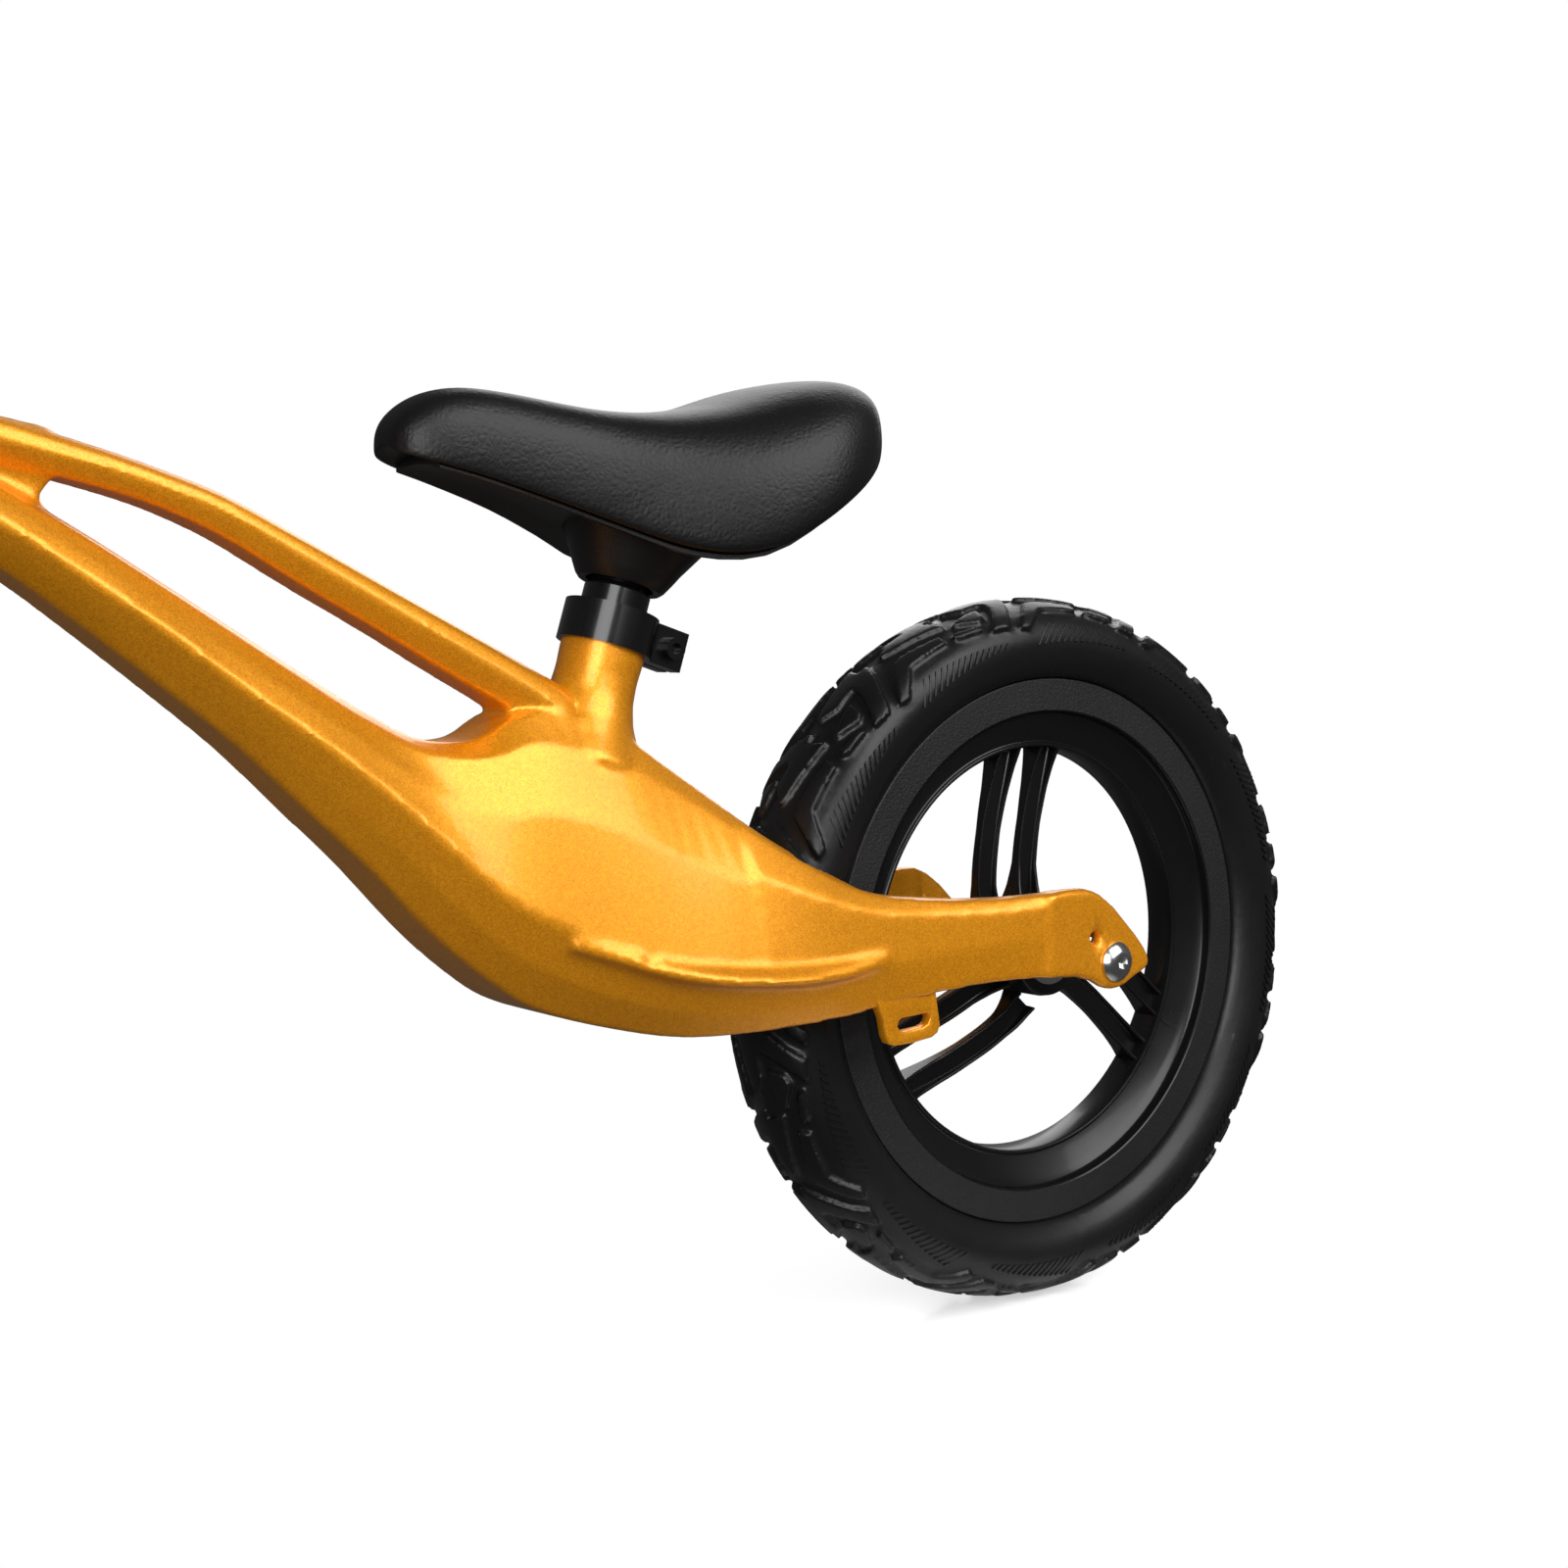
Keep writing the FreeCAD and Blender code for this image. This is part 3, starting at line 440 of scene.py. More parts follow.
RAIL = (
    (208, ((7, 367), (11, 364), (13, 358), (8, 352))),
    (170, ((7, 359.5), (11, 357), (13, 351), (8, 344))),
    (136, ((6.5, 351), (10.5, 348.5), (12.5, 343), (8, 337))),
    (105, ((6.5, 343), (10.5, 340.5), (12, 336), (8, 330))),
    (85, ((6.5, 337), (10.5, 334.5), (12, 330), (8, 324))),
    (65, ((6.5, 330), (10.5, 327.5), (12, 323), (8, 315.5))),
    (38, ((6.5, 317), (10.5, 314.5), (12.5, 309), (8, 300.5))),
    (9, ((6.5, 302.5), (10.5, 300), (13, 294), (8, 285))),
    (-14, ((6.5, 291), (11, 288.5), (13.5, 282), (8.5, 272))),
    (-38, ((7, 279), (11.5, 276), (14, 269), (9, 259))),
    (-64, ((7, 266), (12, 262), (15, 255), (10, 244))),
)
STAY = (
    (-126, ((20, 217), (30, 215), (41, 196), (48.5, 161), (36, 138), (20, 138))),
    (-150, ((30, 201), (37, 199.5), (45, 187), (48.8, 158), (40, 138.5), (30, 138.5))),
    (-178, ((35, 187), (42, 186), (47.5, 179), (49, 157), (44, 140.5), (35, 140.5))),
    (-210, ((36, 181.5), (45.5, 181), (49.5, 176), (50.2, 160), (47.5, 144.5), (36, 144.5))),
    (-245, ((41, 179.5), (50, 179.5), (53.2, 175), (53.4, 162), (51.2, 146.5), (41, 146.5))),
    (-274, ((48.5, 181.5), (54, 181), (56, 177), (56, 163), (55.4, 146), (48.5, 146))),
    (-284, ((49.5, 181.5), (54, 181), (56, 177), (56, 163), (55.4, 147), (49.5, 147))),
)
DROPOUT = (
    (-262, 180), (-272, 181.2), (-280, 181.2), (-287, 180.2), (-292, 178), (-299, 173),
    (-306, 166.5), (-312.5, 160.5), (-318, 154), (-320.8, 149.5), (-320.4, 146.5), (-317, 144.5),
    (-312, 142.5), (-306.5, 139.6), (-300, 138.2), (-293.5, 139.4), (-287.5, 142.8), (-278, 145.4),
    (-262, 146),
)
WEB = ((122, 349), (120, 336), (124, 330), (126.5, 327), (124, 324), (121, 320), (139, 308),
       (205, 340), (205, 364))
LIP = (
    # x, height of the edge, how far it stands out
    (-48, 176, 0.5), (-64, 170.5, 2.0), (-85, 163.5, 4.0), (-105, 159.5, 5.2), (-125, 157.5, 5.6),
    (-145, 156.5, 5.0), (-165, 157.5, 3.4), (-184, 160, 0.8),
)
NECK = ((0, 15), (15.8, 15), (15.8, -3), (15.4, -10), (15.9, -18), (18, -26), (21.5, -33),
        (27, -42), (20, -62), (0, -70))


def crease_width(x):
    """Half width of the casting's widest line at x."""
    table = [(row[0], row[1][3][0]) for row in SPAR]
    for (x1, w1), (x2, w2) in zip(table, table[1:]):
        if x2 <= x <= x1:
            return w1 + (w2 - w1) * (x1 - x) / (x1 - x2)
    return table[-1][1]


def casting_blocks(steps):
    """Overlapping solids that make up the casting."""
    bm = bmesh.new()
    loft(bm, smooth_rings(sections_to_rings(SPAR), steps))
    loft(bm, smooth_rings(sections_to_rings(RAIL), steps))
    for side in (1, -1):
        loft(bm, smooth_rings(sections_to_rings(STAY, mirrored=False, side=side), steps))
        low, high = sorted((side * DROPOUT_INNER, side * DROPOUT_OUTER))
        prism(bm, DROPOUT, low, high, bevel=1.2)
        rings = []
        for x, z, out in LIP:
            width = crease_width(x)
            section = ((width - 9, z + 9), (width + out * 0.45, z + 3.2), (width + out, z),
                       (width + out * 0.75, z - 1.6), (width - 4, z - 3.0), (width - 12, z - 1))
            rings.append([Vector((x, side * y, height)) for y, height in section])
        loft(bm, smooth_rings(rings, steps))
    prism(bm, WEB, -5.5, 5.5)
    spun(bm, NECK, 64, SEAT_ORIGIN, SEAT_UP, SEAT_ACROSS)
    spun(bm, ((0, -38), (20.4, -38), (21, -37.4), (21, -30), (20, -28), (20, 22), (21, 24),
              (21, 31.4), (20.4, 32), (0, 32)), 64, HEAD_ORIGIN, HEAD_UP, HEAD_ACROSS)
    bmesh.ops.recalc_face_normals(bm, faces=bm.faces[:])
    return bm


def cutter(name, make):
    """Helper solid for a boolean cut; removed after use."""
    bm = bmesh.new()
    make(bm)
    return finish_mesh(name, bm, None, None, sharp=0)


def remove_object(piece):
    """Delete a helper object together with its mesh."""
    mesh = piece.data
    bpy.data.objects.remove(piece)
    bpy.data.meshes.remove(mesh)


def cut(piece, name, make):
    tool = cutter(name, make)
    add_modifier(piece, "BOOLEAN", operation="DIFFERENCE", solver="MANIFOLD", object=tool)
    bake(piece)
    remove_object(tool)


def build_frame(settings, paint):
    casting = finish_mesh("Casting", casting_blocks(settings.steps), None, paint, sharp=0)
    add_modifier(casting, "REMESH", mode="VOXEL", voxel_size=settings.voxel)
    bake(casting)
    cut(casting, "Tyre_gap", lambda bm: spun(
        bm, ((0, -TYRE_GAP_HALF_WIDTH), (TYRE_GAP_RADIUS, -TYRE_GAP_HALF_WIDTH),
             (TYRE_GAP_RADIUS, TYRE_GAP_HALF_WIDTH), (0, TYRE_GAP_HALF_WIDTH)), 96, REAR_AXLE,
        Vector((0, 1, 0)), Vector((1, 0, 0))))
    add_modifier(casting, "REMESH", mode="VOXEL", voxel_size=settings.voxel)
    add_modifier(casting, "SMOOTH", factor=0.5, iterations=settings.smoothing)
    bake(casting)
    cut(casting, "Post_bore", lambda bm: spun(
        bm, ((0, -95), (POST_BORE, -95), (POST_BORE, 30), (0, 30)), 48, SEAT_ORIGIN, SEAT_UP,
        SEAT_ACROSS))
    cut(casting, "Head_bore", lambda bm: spun(
        bm, ((0, -60), (HEAD_BORE, -60), (HEAD_BORE, 60), (0, 60)), 48, HEAD_ORIGIN, HEAD_UP,
        HEAD_ACROSS))
    for side in (1, -1):
        cut(casting, "Accessory_hole", lambda bm: spun(
            bm, ((0, 35), (2.6, 35), (2.6, 54.6), (4.4, 56.2), (4.4, 66), (0, 66)), 32,
            ACCESSORY_HOLE, Vector((0, side, 0)), Vector((1, 0, 0))))
    faces = len(casting.data.polygons)
    add_modifier(casting, "DECIMATE", ratio=min(1.0, CASTING_FACES / max(1, faces)))
    bake(casting)
    casting.data.shade_smooth()
    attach(casting, "frame_body")
    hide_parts("frame")
    return casting


TAB = ((-176, 150), (-180.5, 143), (-183.5, 137), (-185, 130), (-186.5, 127), (-189.5, 125.6),
       (-199, 125.8), (-209, 127), (-212, 128.6), (-213.3, 131.5), (-212, 139), (-210, 150))
TAB_SLOT = ((-192.3, 131.6), (-191, 133.2), (-191.6, 135.2), (-193.6, 136.4), (-205.4, 137),
            (-207.3, 136.2), (-207.8, 134.4), (-206.6, 132.6), (-204, 131.6), (-194, 130.8))


def build_tabs(paint):
    for side, word in ((1, "left"), (-1, "right")):
        bm = bmesh.new()
        low, high = sorted((side * TAB_INNER, side * TAB_OUTER))
        prism(bm, TAB, low, high, bevel=1.1, segments=3)
        tab = finish_mesh("Strap_tab_" + word, bm, None, paint, sharp=30)
        cut(tab, "Slot", lambda tool: prism(tool, TAB_SLOT, -60.0, 60.0))
        add_modifier(tab, "BEVEL", width=0.0006, segments=2, limit_method="ANGLE",
                     angle_limit=math.radians(50))
        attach(tab, "frame_body")


# ------------------------------------------------------------------ wheels
RIM_PROFILE = (
    # radius, half width: tyre seat, flange, textured face, step, dish, lip, waist
    (110.0, 14.0), (115.0, 14.0), (115.5, 14.5), (115.5, 16.0), (115.0, 16.5), (102.2, 16.5),
    (101.5, 16.0), (101.2, 12.6), (100.6, 11.8), (97.0, 10.0), (92.0, 7.6), (88.6, 6.4),
    (88.2, 7.2), (87.4, 7.7), (86.6, 7.4), (86.0, 6.4),
)
TYRE_PROFILE = (
    # radius, half width of the tread's base
    (110.0, 13.9), (115.7, 13.9), (115.8, 16.6), (117.2, 18.6), (119.5, 20.5), (122.2, 22.2),
    (125.0, 23.3), (128.0, 24.0), (131.0, 24.2), (133.6, 23.9), (136.0, 23.2), (138.2, 22.0),
    (140.2, 20.4), (142.2, 17.8), (144.2, 13.4), (145.8, 9.0), (146.8, 4.6), (147.2, 0.0),
)
# Centre lines of the two spokes of the upper pair: (x, z) from the wheel's centre.
SPOKES = (
    ((19.0, 12.0), (21.8, 22.0), (21.9, 34.0), (20.6, 46.0), (18.6, 58.0), (15.8, 70.0),
     (12.6, 83.0), (9.4, 97.0)),
    ((0.6, 15.0), (-0.3, 24.0), (-1.2, 36.0), (-2.6, 48.0), (-4.8, 60.0), (-7.4, 72.0),
     (-10.4, 84.0), (-13.8, 97.0)),
)
SPOKE_DEPTH = (
    # distance from the centre, half height of the flanges
    (0, 8.0), (18, 7.0), (26, 4.2), (36, 2.4), (55, 2.1), (70, 3.0), (80, 4.4), (86, 6.0),
    (89, 6.6), (92, 7.2), (97, 9.4), (120, 9.4),
)


def turned_profile(bm, table, segments):
    """Closed body of revolution about Y from a half profile (radius, half width)."""
    section = [(r, y) for r, y in table] + [(r, -y) for r, y in reversed(table) if y > 0]
    rings = []
    for index in range(segments):
        angle = math.tau * index / segments
        spoke = Vector((math.cos(angle), 0, math.sin(angle)))
        rings.append([spoke * r + Vector((0, y, 0)) for r, y in section])
    loft(bm, rings, closed=True)


def curve_points(points, steps):
    """Smooth curve through flat points, as (position, tangent)."""
    rings = smooth_rings([[Vector(point)] for point in points], steps)
    line = [ring[0] for ring in rings]
    out = []
    for index, point in enumerate(line):
        ahead = line[min(len(line) - 1, index + 1)]
        behind = line[max(0, index - 1)]
        out.append((point, (ahead - behind).normalized()))
    return out


def step_table(table, at):
    """Straight-line value from a table of (place, value)."""
    for (one, low), (two, high) in zip(table, table[1:]):
        if at <= two:
            return low + (high - low) * max(0.0, at - one) / (two - one)
    return table[-1][1]


def spoke_section(half_width, depth, wall, web):
    """I section in (across, depth): a flange along each edge and a thin web between them."""
    inner = half_width - wall
    root = inner - 0.5
    corners = ((-half_width, depth - 0.4), (-half_width + 0.4, depth), (-inner - 0.2, depth),
               (-inner, depth - 0.3), (-root, web))
    top = list(corners) + [(-u, d) for u, d in reversed(corners)]
    return top + [(u, -d) for u, d in reversed(top)]


def add_spoke(bm, line, turn):
    rings = []
    for point, tangent in curve_points(line, 4):
        radius = point.length
        depth = step_table(SPOKE_DEPTH, radius)
        foot = max(0.0, min(1.0, (34.0 - radius) / 16.0))
        across = Vector((tangent.y, -tangent.x))
        ring = []
        for side, deep in spoke_section(5.4 + 1.2 * foot, depth, 1.5, 0.9):
            flat = point + across * side
            ring.append(Matrix.Rotation(turn, 3, "Y") @ Vector((flat.x, deep, flat.y)))
        rings.append(ring)
    loft(bm, rings)


def build_rim(prefix, axle, settings, nylon, face):
    bm = bmesh.new()
    turned_profile(bm, RIM_PROFILE, settings.segments)
    for third in range(3):
        for line in SPOKES:
            add_spoke(bm, line, math.tau * third / 3)
    spun(bm, ((14.0, -18), (17.6, -18), (18.8, -17.3), (19.4, -14), (19.5, 0), (19.4, 14),
              (18.8, 17.3), (17.6, 18), (14.0, 18)), 64, Vector(), Vector((0, 1, 0)),
         Vector((1, 0, 0)))
    bmesh.ops.translate(bm, vec=axle, verts=bm.verts[:])
    rim = finish_mesh(prefix + "_rim", bm, None, nylon, sharp=32)
    rim.data.materials.append(face)
    for polygon in rim.data.polygons:
        centre = polygon.center / MM - axle
        radius = math.hypot(centre.x, centre.z)
        if 102.0 < radius < 115.6 and abs(centre.y) > 16.2:
            polygon.material_index = 1
    add_modifier(rim, "BEVEL", width=0.0004, segments=1, limit_method="ANGLE",
                 angle_limit=math.radians(40))
    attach(rim, prefix.lower() + "_wheel_body")
    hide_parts(prefix.lower() + "_rim")


# Tread of one pitch on the near side: degrees round the wheel, mm across from the crown.
BLOCKS = (
    ((12, 13.5), (4.3, 9.5), (2.0, 10.1), (-0.8, 17.6), (-3.6, 24.6), (-1.8, 26), (0.9, 21.6),
     (3.4, 17.3), (11.5, 18.2)),
    ((1, -0.5), (-1.5, 10), (-3.3, 15.8), (-5, 21.3), (-5.8, 23.8), (-9.7, 22.8), (-8.2, 19.3),
     (-6.8, 15.0), (-5.5, 10.6), (-4, 0.5)),
    ((-7.4, 7.5), (-12, 9), (-14, 11.5), (-9.8, 16.6), (-8.2, 14.5)),
    ((-11, 21.2), (-11.6, 18.1), (-15.9, 16.2), (-16.6, 17.9), (-15.7, 19.8)),
    ((15, 9.5), (14, 2), (12, -3), (6, -4), (3, 1.5), (4.5, 3.5)),
)
TREAD_START = 23.6
RIBS = 15
RIB_STEP = 1.57
MM_PER_DEGREE = 150.0 * math.pi / 180.0


def profile_lookup():
    """Arc length from the crown, with radius, half width and outward normal, along the profile."""
    points = [Vector((r, y)) for r, y in reversed(TYRE_PROFILE)]
    out = []
    length = 0.0
    for index, point in enumerate(points):
        if index:
            length += (point - points[index - 1]).length
        before = points[max(0, index - 1)]
        after = points[min(len(points) - 1, index + 1)]
        along = (after - before).normalized()
        normal = Vector((along.y, -along.x)) if index else Vector((1.0, 0.0))
        out.append((length, point, normal))
    return out


def wrap(table, turn, across, height):
    """Point on the tyre for an angle in degrees and a distance across from the crown."""
    side = 1.0 if across >= 0 else -1.0
    reach = abs(across)
    for (s1, p1, n1), (s2, p2, n2) in zip(table, table[1:]):
        if reach <= s2:
            break
    t = min(1.0, (reach - s1) / (s2 - s1))
    point = p1.lerp(p2, t) + n1.lerp(n2, t).normalized() * height
    angle = math.radians(turn)
    return Vector((point.x * math.cos(angle), side * point.y, point.x * math.sin(angle)))


def flat_block(outline, foot, top, inset, steps=0):
    """Flat block from an outline in (degrees, mm): from foot to top in height, edges cut back."""
    bm = bmesh.new()
    made = bmesh.ops.create_circle(bm, segments=len(outline), radius=1.0, cap_ends=True)["verts"]
    for vert, (turn, across) in zip(made, outline):
        vert.co = (turn * MM_PER_DEGREE, across, foot)
    result = bmesh.ops.extrude_face_region(bm, geom=bm.faces[:])["geom"]
    lifted = [item for item in result if isinstance(item, bmesh.types.BMVert)]
    cap = [item for item in result if isinstance(item, bmesh.types.BMFace)]
    bmesh.ops.translate(bm, vec=(0, 0, top - foot), verts=lifted)
    bmesh.ops.inset_region(bm, faces=cap, thickness=inset, depth=0.0)
    cap_verts = {vert for face in cap for vert in face.verts}
    for vert in set(lifted) - cap_verts:
        vert.co.z -= inset * 0.7
    bmesh.ops.triangulate(bm, faces=bm.faces[:])
    for _ in range(steps):
        edges = [edge for edge in bm.edges if edge.calc_length() > 3.0]
        bmesh.ops.subdivide_edges(bm, edges=edges, cuts=1)
        bmesh.ops.triangulate(bm, faces=bm.faces[:])
    block = bpy.data.meshes.new("Block")
    bm.to_mesh(block)
    bm.free()
    return block


def lay_round(bm, block, table, pitches):
    """Repeat a flat block round both sides of the tyre, the far side half a pitch on."""
    step = 360.0 / pitches
    for index in range(pitches):
        for side in (1, -1):
            shift = TREAD_START + index * step + (0.0 if side > 0 else step / 2)
            start = len(bm.verts)
            bm.from_mesh(block)
            bm.verts.ensure_lookup_table()
            for vert in bm.verts[start:]:
                along, across, height = vert.co
                vert.co = wrap(table, shift + along / MM_PER_DEGREE, across * side, height)
    bpy.data.meshes.remove(block)


def build_tread(table, settings):
    """Tyre body and tread blocks, still separate shells."""
    bm = bmesh.new()
    turned_profile(bm, TYRE_PROFILE, settings.segments)
    for outline in BLOCKS:
        block = flat_block(outline, -1.5, settings.tread_depth / MM, 0.8, steps=2)
        lay_round(bm, block, table, settings.pitches)
    return bm


def add_ribs(bm, table, settings):
    """Comb of fine ribs on both shoulders, shrinking along each pitch."""
    for rib in range(RIBS):
        size = rib / (RIBS - 1)
        turn = RIB_STEP * rib
        low = 32.6 - 1.6 * size
        high = low - 6.6 * (1.0 - size) - 2.0
        lean = 0.42 * (low - high)
        outline = ((turn + 0.30, low), (turn - 0.30, low),
                   (turn - 0.24 + lean, high), (turn + 0.24 + lean, high))
        lay_round(bm, flat_block(outline, -0.5, 0.75, 0.28), table, settings.pitches)


def build_tyres(settings, foam):
    """The rear tyre, and the same mesh moved to the front axle."""
    table = profile_lookup()
    tyre = finish_mesh("Rear_tyre", build_tread(table, settings), None, foam, sharp=0)
    add_modifier(tyre, "REMESH", mode="VOXEL", voxel_size=settings.voxel)
    add_modifier(tyre, "SMOOTH", factor=0.5, iterations=3)
    bake(tyre)
    faces = len(tyre.data.polygons)
    add_modifier(tyre, "DECIMATE", ratio=min(1.0, TYRE_FACES / max(1, faces)))
    bake(tyre)
    ribs = bmesh.new()
    ribs.from_mesh(tyre.data)
    bmesh.ops.scale(ribs, vec=(1 / MM, 1 / MM, 1 / MM), verts=ribs.verts[:])
    add_ribs(ribs, table, settings)
    remove_object(tyre)
    moved = ribs.copy()
    for prefix, mesh, axle in (("Rear", ribs, REAR_AXLE), ("Front", moved, FRONT_AXLE)):
        bmesh.ops.translate(mesh, vec=axle, verts=mesh.verts[:])
        tyre = finish_mesh(prefix + "_tyre", mesh, prefix.lower() + "_wheel_body", foam, sharp=50)
        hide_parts(prefix.lower() + "_tyre")


def build_axle_bolts(prefix, axle, face_at, steel, body):
    for side, word in ((1, "left"), (-1, "right")):
        bm = bmesh.new()
        out = Vector((0, side, 0))
        origin = axle + out * face_at
        spun(bm, ((0, -1.5), (7.9, -1.5), (7.9, 0.0), (8.2, 0.25), (8.2, 1.0), (7.8, 1.5),
                  (6.9, 2.4), (5.6, 3.4), (4.3, 3.9), (3.6, 4.0), (0, 4.0)), 64, origin, out,
             Vector((1, 0, 0)))
        bolt = finish_mesh("%s_axle_bolt_%s" % (prefix, word), bm, None, steel, sharp=40)
        cut(bolt, "Hex_socket", lambda tool: spun(
            tool, ((0, 1.2), (2.9, 1.2), (2.9, 5.0), (0, 5.0)), 6, origin, out,
            Vector((0.94, 0, 0.34)).normalized()))
        bolt.data.shade_smooth()
        bolt.data.set_sharp_from_angle(angle=math.radians(35))
        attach(bolt, body)
        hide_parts("%s_axle_bolt_%s" % (prefix.lower(), word))


# ------------------------------------------------------------------ saddle
# x, half width, top, rim
SADDLE = (
    (-195, 10, 371, 364), (-192.5, 26, 376.5, 359), (-185.5, 42, 380.5, 351), (-171.5, 55, 382, 341),
    (-150.5, 61, 378, 327.5), (-125.5, 57, 370, 314), (-100.5, 46, 366, 313.5), (-75.5, 34, 366, 322),
    (-50.5, 26, 369, 331), (-25.5, 21.5, 371, 338.5), (-9.5, 18, 367.5, 342.5), (0.5, 12.5, 360, 345.5),
    (4, 6, 353.5, 348),
)


def saddle_half(width, top, rim):
    tall = top - rim
    return ((0, top), (0.34 * width, top - 0.015 * tall), (0.66 * width, top - 0.08 * tall),
            (0.87 * width, top - 0.24 * tall), (0.97 * width, top - 0.46 * tall),
            (1.0 * width, rim + 0.26 * tall), (0.985 * width, rim + 0.08 * tall),
            (0.95 * width, rim), (0.86 * width, rim + 0.03 * tall),
            (0.5 * width, rim + 0.14 * tall), (0, rim + 0.17 * tall))


def saddle_ring(x, width, top, rim):
    half = saddle_half(width, top, rim)
    points = list(half) + [(-y, z) for y, z in reversed(half[1:-1])]
    return [Vector((x, y, z)) for y, z in points]


def build_saddle(settings, leather, plastic):
    bm = bmesh.new()
    loft(bm, smooth_rings([saddle_ring(*row) for row in SADDLE], 2))
    cover = finish_mesh("Saddle_cover", bm, "seat_body", leather, sharp=0)
    subdivide(cover, settings.subdivision - 1)
    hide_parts("saddle_cover")
    bm = bmesh.new()
    rings = []
    for x, width, top, rim in SADDLE[2:-2]:
        tall = top - rim
        half = ((0, rim + 0.17 * tall - 0.3), (0.5 * width, rim + 0.14 * tall - 0.3),
                (0.82 * width, rim + 0.04 * tall - 0.3), (0.86 * width, rim + 0.02 * tall - 0.6),
                (0.86 * width, rim - 0.9), (0.82 * width, rim - 1.3),
                (0.5 * width, rim + 0.13 * tall - 3.0),
                (0, rim + 0.16 * tall - 3.0))
        points = list(half) + [(-y, z) for y, z in reversed(half[1:-1])]
        rings.append([Vector((x, y, z)) for y, z in points])
    loft(bm, smooth_rings(rings, 3))
    base = finish_mesh("Saddle_base", bm, "seat_body", plastic, sharp=40)
    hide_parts("saddle_base")
    bm = bmesh.new()
    spun(bm, ((12.9, 24.6), (15.6, 24.2), (17.0, 25.6), (19.0, 29.0), (21.4, 33.5), (24.2, 38),
              (27.0, 42.5), (28.6, 46), (26.6, 46), (20, 36), (14, 27), (12.9, 26)), 64,
         SEAT_ORIGIN, SEAT_UP, SEAT_ACROSS)
    skirt = finish_mesh("Saddle_skirt", bm, "seat_body", plastic, sharp=40)
    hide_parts("saddle_skirt")


# ------------------------------------------------------------------ fork, bar and grips
LEG = (
    (-45, -15, 15, 26, 36), (-52, -16, 16, 30, 43), (-66, -15, 16, 33.5, 46), (-100, -13, 15, 34, 46.5),
    (-150, -9, 17, 34, 47), (-195, -1, 24.5, 35, 47), (-222, 6, 29, 36, 47), (-232, 11, 24, 37, 46),
)


def build_fork(settings, paint):
    bm = bmesh.new()
    for side in (1, -1):
        rings = []
        for up, back, front, inner, outer in LEG:
            mid = (inner + outer) / 2
            section = ((back + 3, inner), (back, mid), (back + 4, outer - 2), (back + 8, outer),
                       (front - 8, outer), (front - 4, outer - 2), (front, mid), (front - 3, inner))
            rings.append([head_point(x, side * y, up) for x, y in section])
        loft(bm, smooth_rings(rings, settings.steps))
    crown = ((-17, 0), (-16, 20), (-13, 36), (-8, 41), (8, 41), (13, 36), (17, 20), (19, 0),
             (17, -20), (13, -36), (8, -41), (-8, -41), (-13, -36), (-16, -20))
    loft(bm, [[head_point(x * k, y * k, up) for x, y in crown]
              for up, k in ((-60, 0.94), (-57, 1.0), (-49, 1.0), (-45.5, 0.9))])
    spun(bm, ((0, -58), (20, -58), (20, -45), (19.4, -44.4), (0, -44.4)), 64, HEAD_ORIGIN, HEAD_UP,
         HEAD_ACROSS)
    bmesh.ops.recalc_face_normals(bm, faces=bm.faces[:])
    fork = finish_mesh("Fork", bm, None, paint, sharp=0)
    add_modifier(fork, "REMESH", mode="VOXEL", voxel_size=settings.voxel * 1.1)
    add_modifier(fork, "SMOOTH", factor=0.5, iterations=settings.smoothing)
    bake(fork)
    cut(fork, "Axle_bore", lambda tool: spun(
        tool, ((0, -60), (5, -60), (5, 60), (0, 60)), 32, FRONT_AXLE, Vector((0, 1, 0)),
        Vector((1, 0, 0))))
    add_modifier(fork, "DECIMATE", ratio=0.5)
    bake(fork)
    fork.data.shade_smooth()
    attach(fork, "steering_body")
    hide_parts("fork")


def build_grips(rubber):
    for side, word in ((1, "left"), (-1, "right")):
        bm = bmesh.new()
        profile = [(11.2, 96), (20.4, 96), (21, 96.6), (21, 99.6), (20.4, 100.4), (15.6, 101.5)]
        at = 104.0
        while at < 192:
            profile += [(15.1, at), (15.6, at + 0.5), (15.6, at + 2.3), (15.1, at + 2.8)]
            at += 4.0
        profile += [(15.4, 197), (18.5, 200), (20, 203), (20, 206), (18, 209), (12, 210), (0, 210)]
        origin = head_point(0, 0, 236)
        spun(bm, profile, 64, origin, Vector((0, side, 0)), HEAD_UP)
        grip = finish_mesh("Grip_" + word, bm, "handlebar_body", rubber, sharp=40)
        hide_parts("grip_" + word)


# ------------------------------------------------------------------ finishes of the CAD nodes
def paint_nodes(names, material):
    """Give CAD nodes that stay as they are their material."""
    for name in names:
        piece = frame["nodes"][name]
        piece.data.materials.clear()
        piece.data.materials.append(material)


# ------------------------------------------------------------------ stage
VIEW_YAW = math.radians(38.0)
VIEW_PITCH = math.radians(3.91)
VIEW_SENSOR = 36.0
VIEW_LENS = 53.505
# Where the rear axle stands from the camera, in mm.
AXLE_AHEAD, AXLE_RIGHT, AXLE_BELOW = 1000.0, 101.81, 69.81


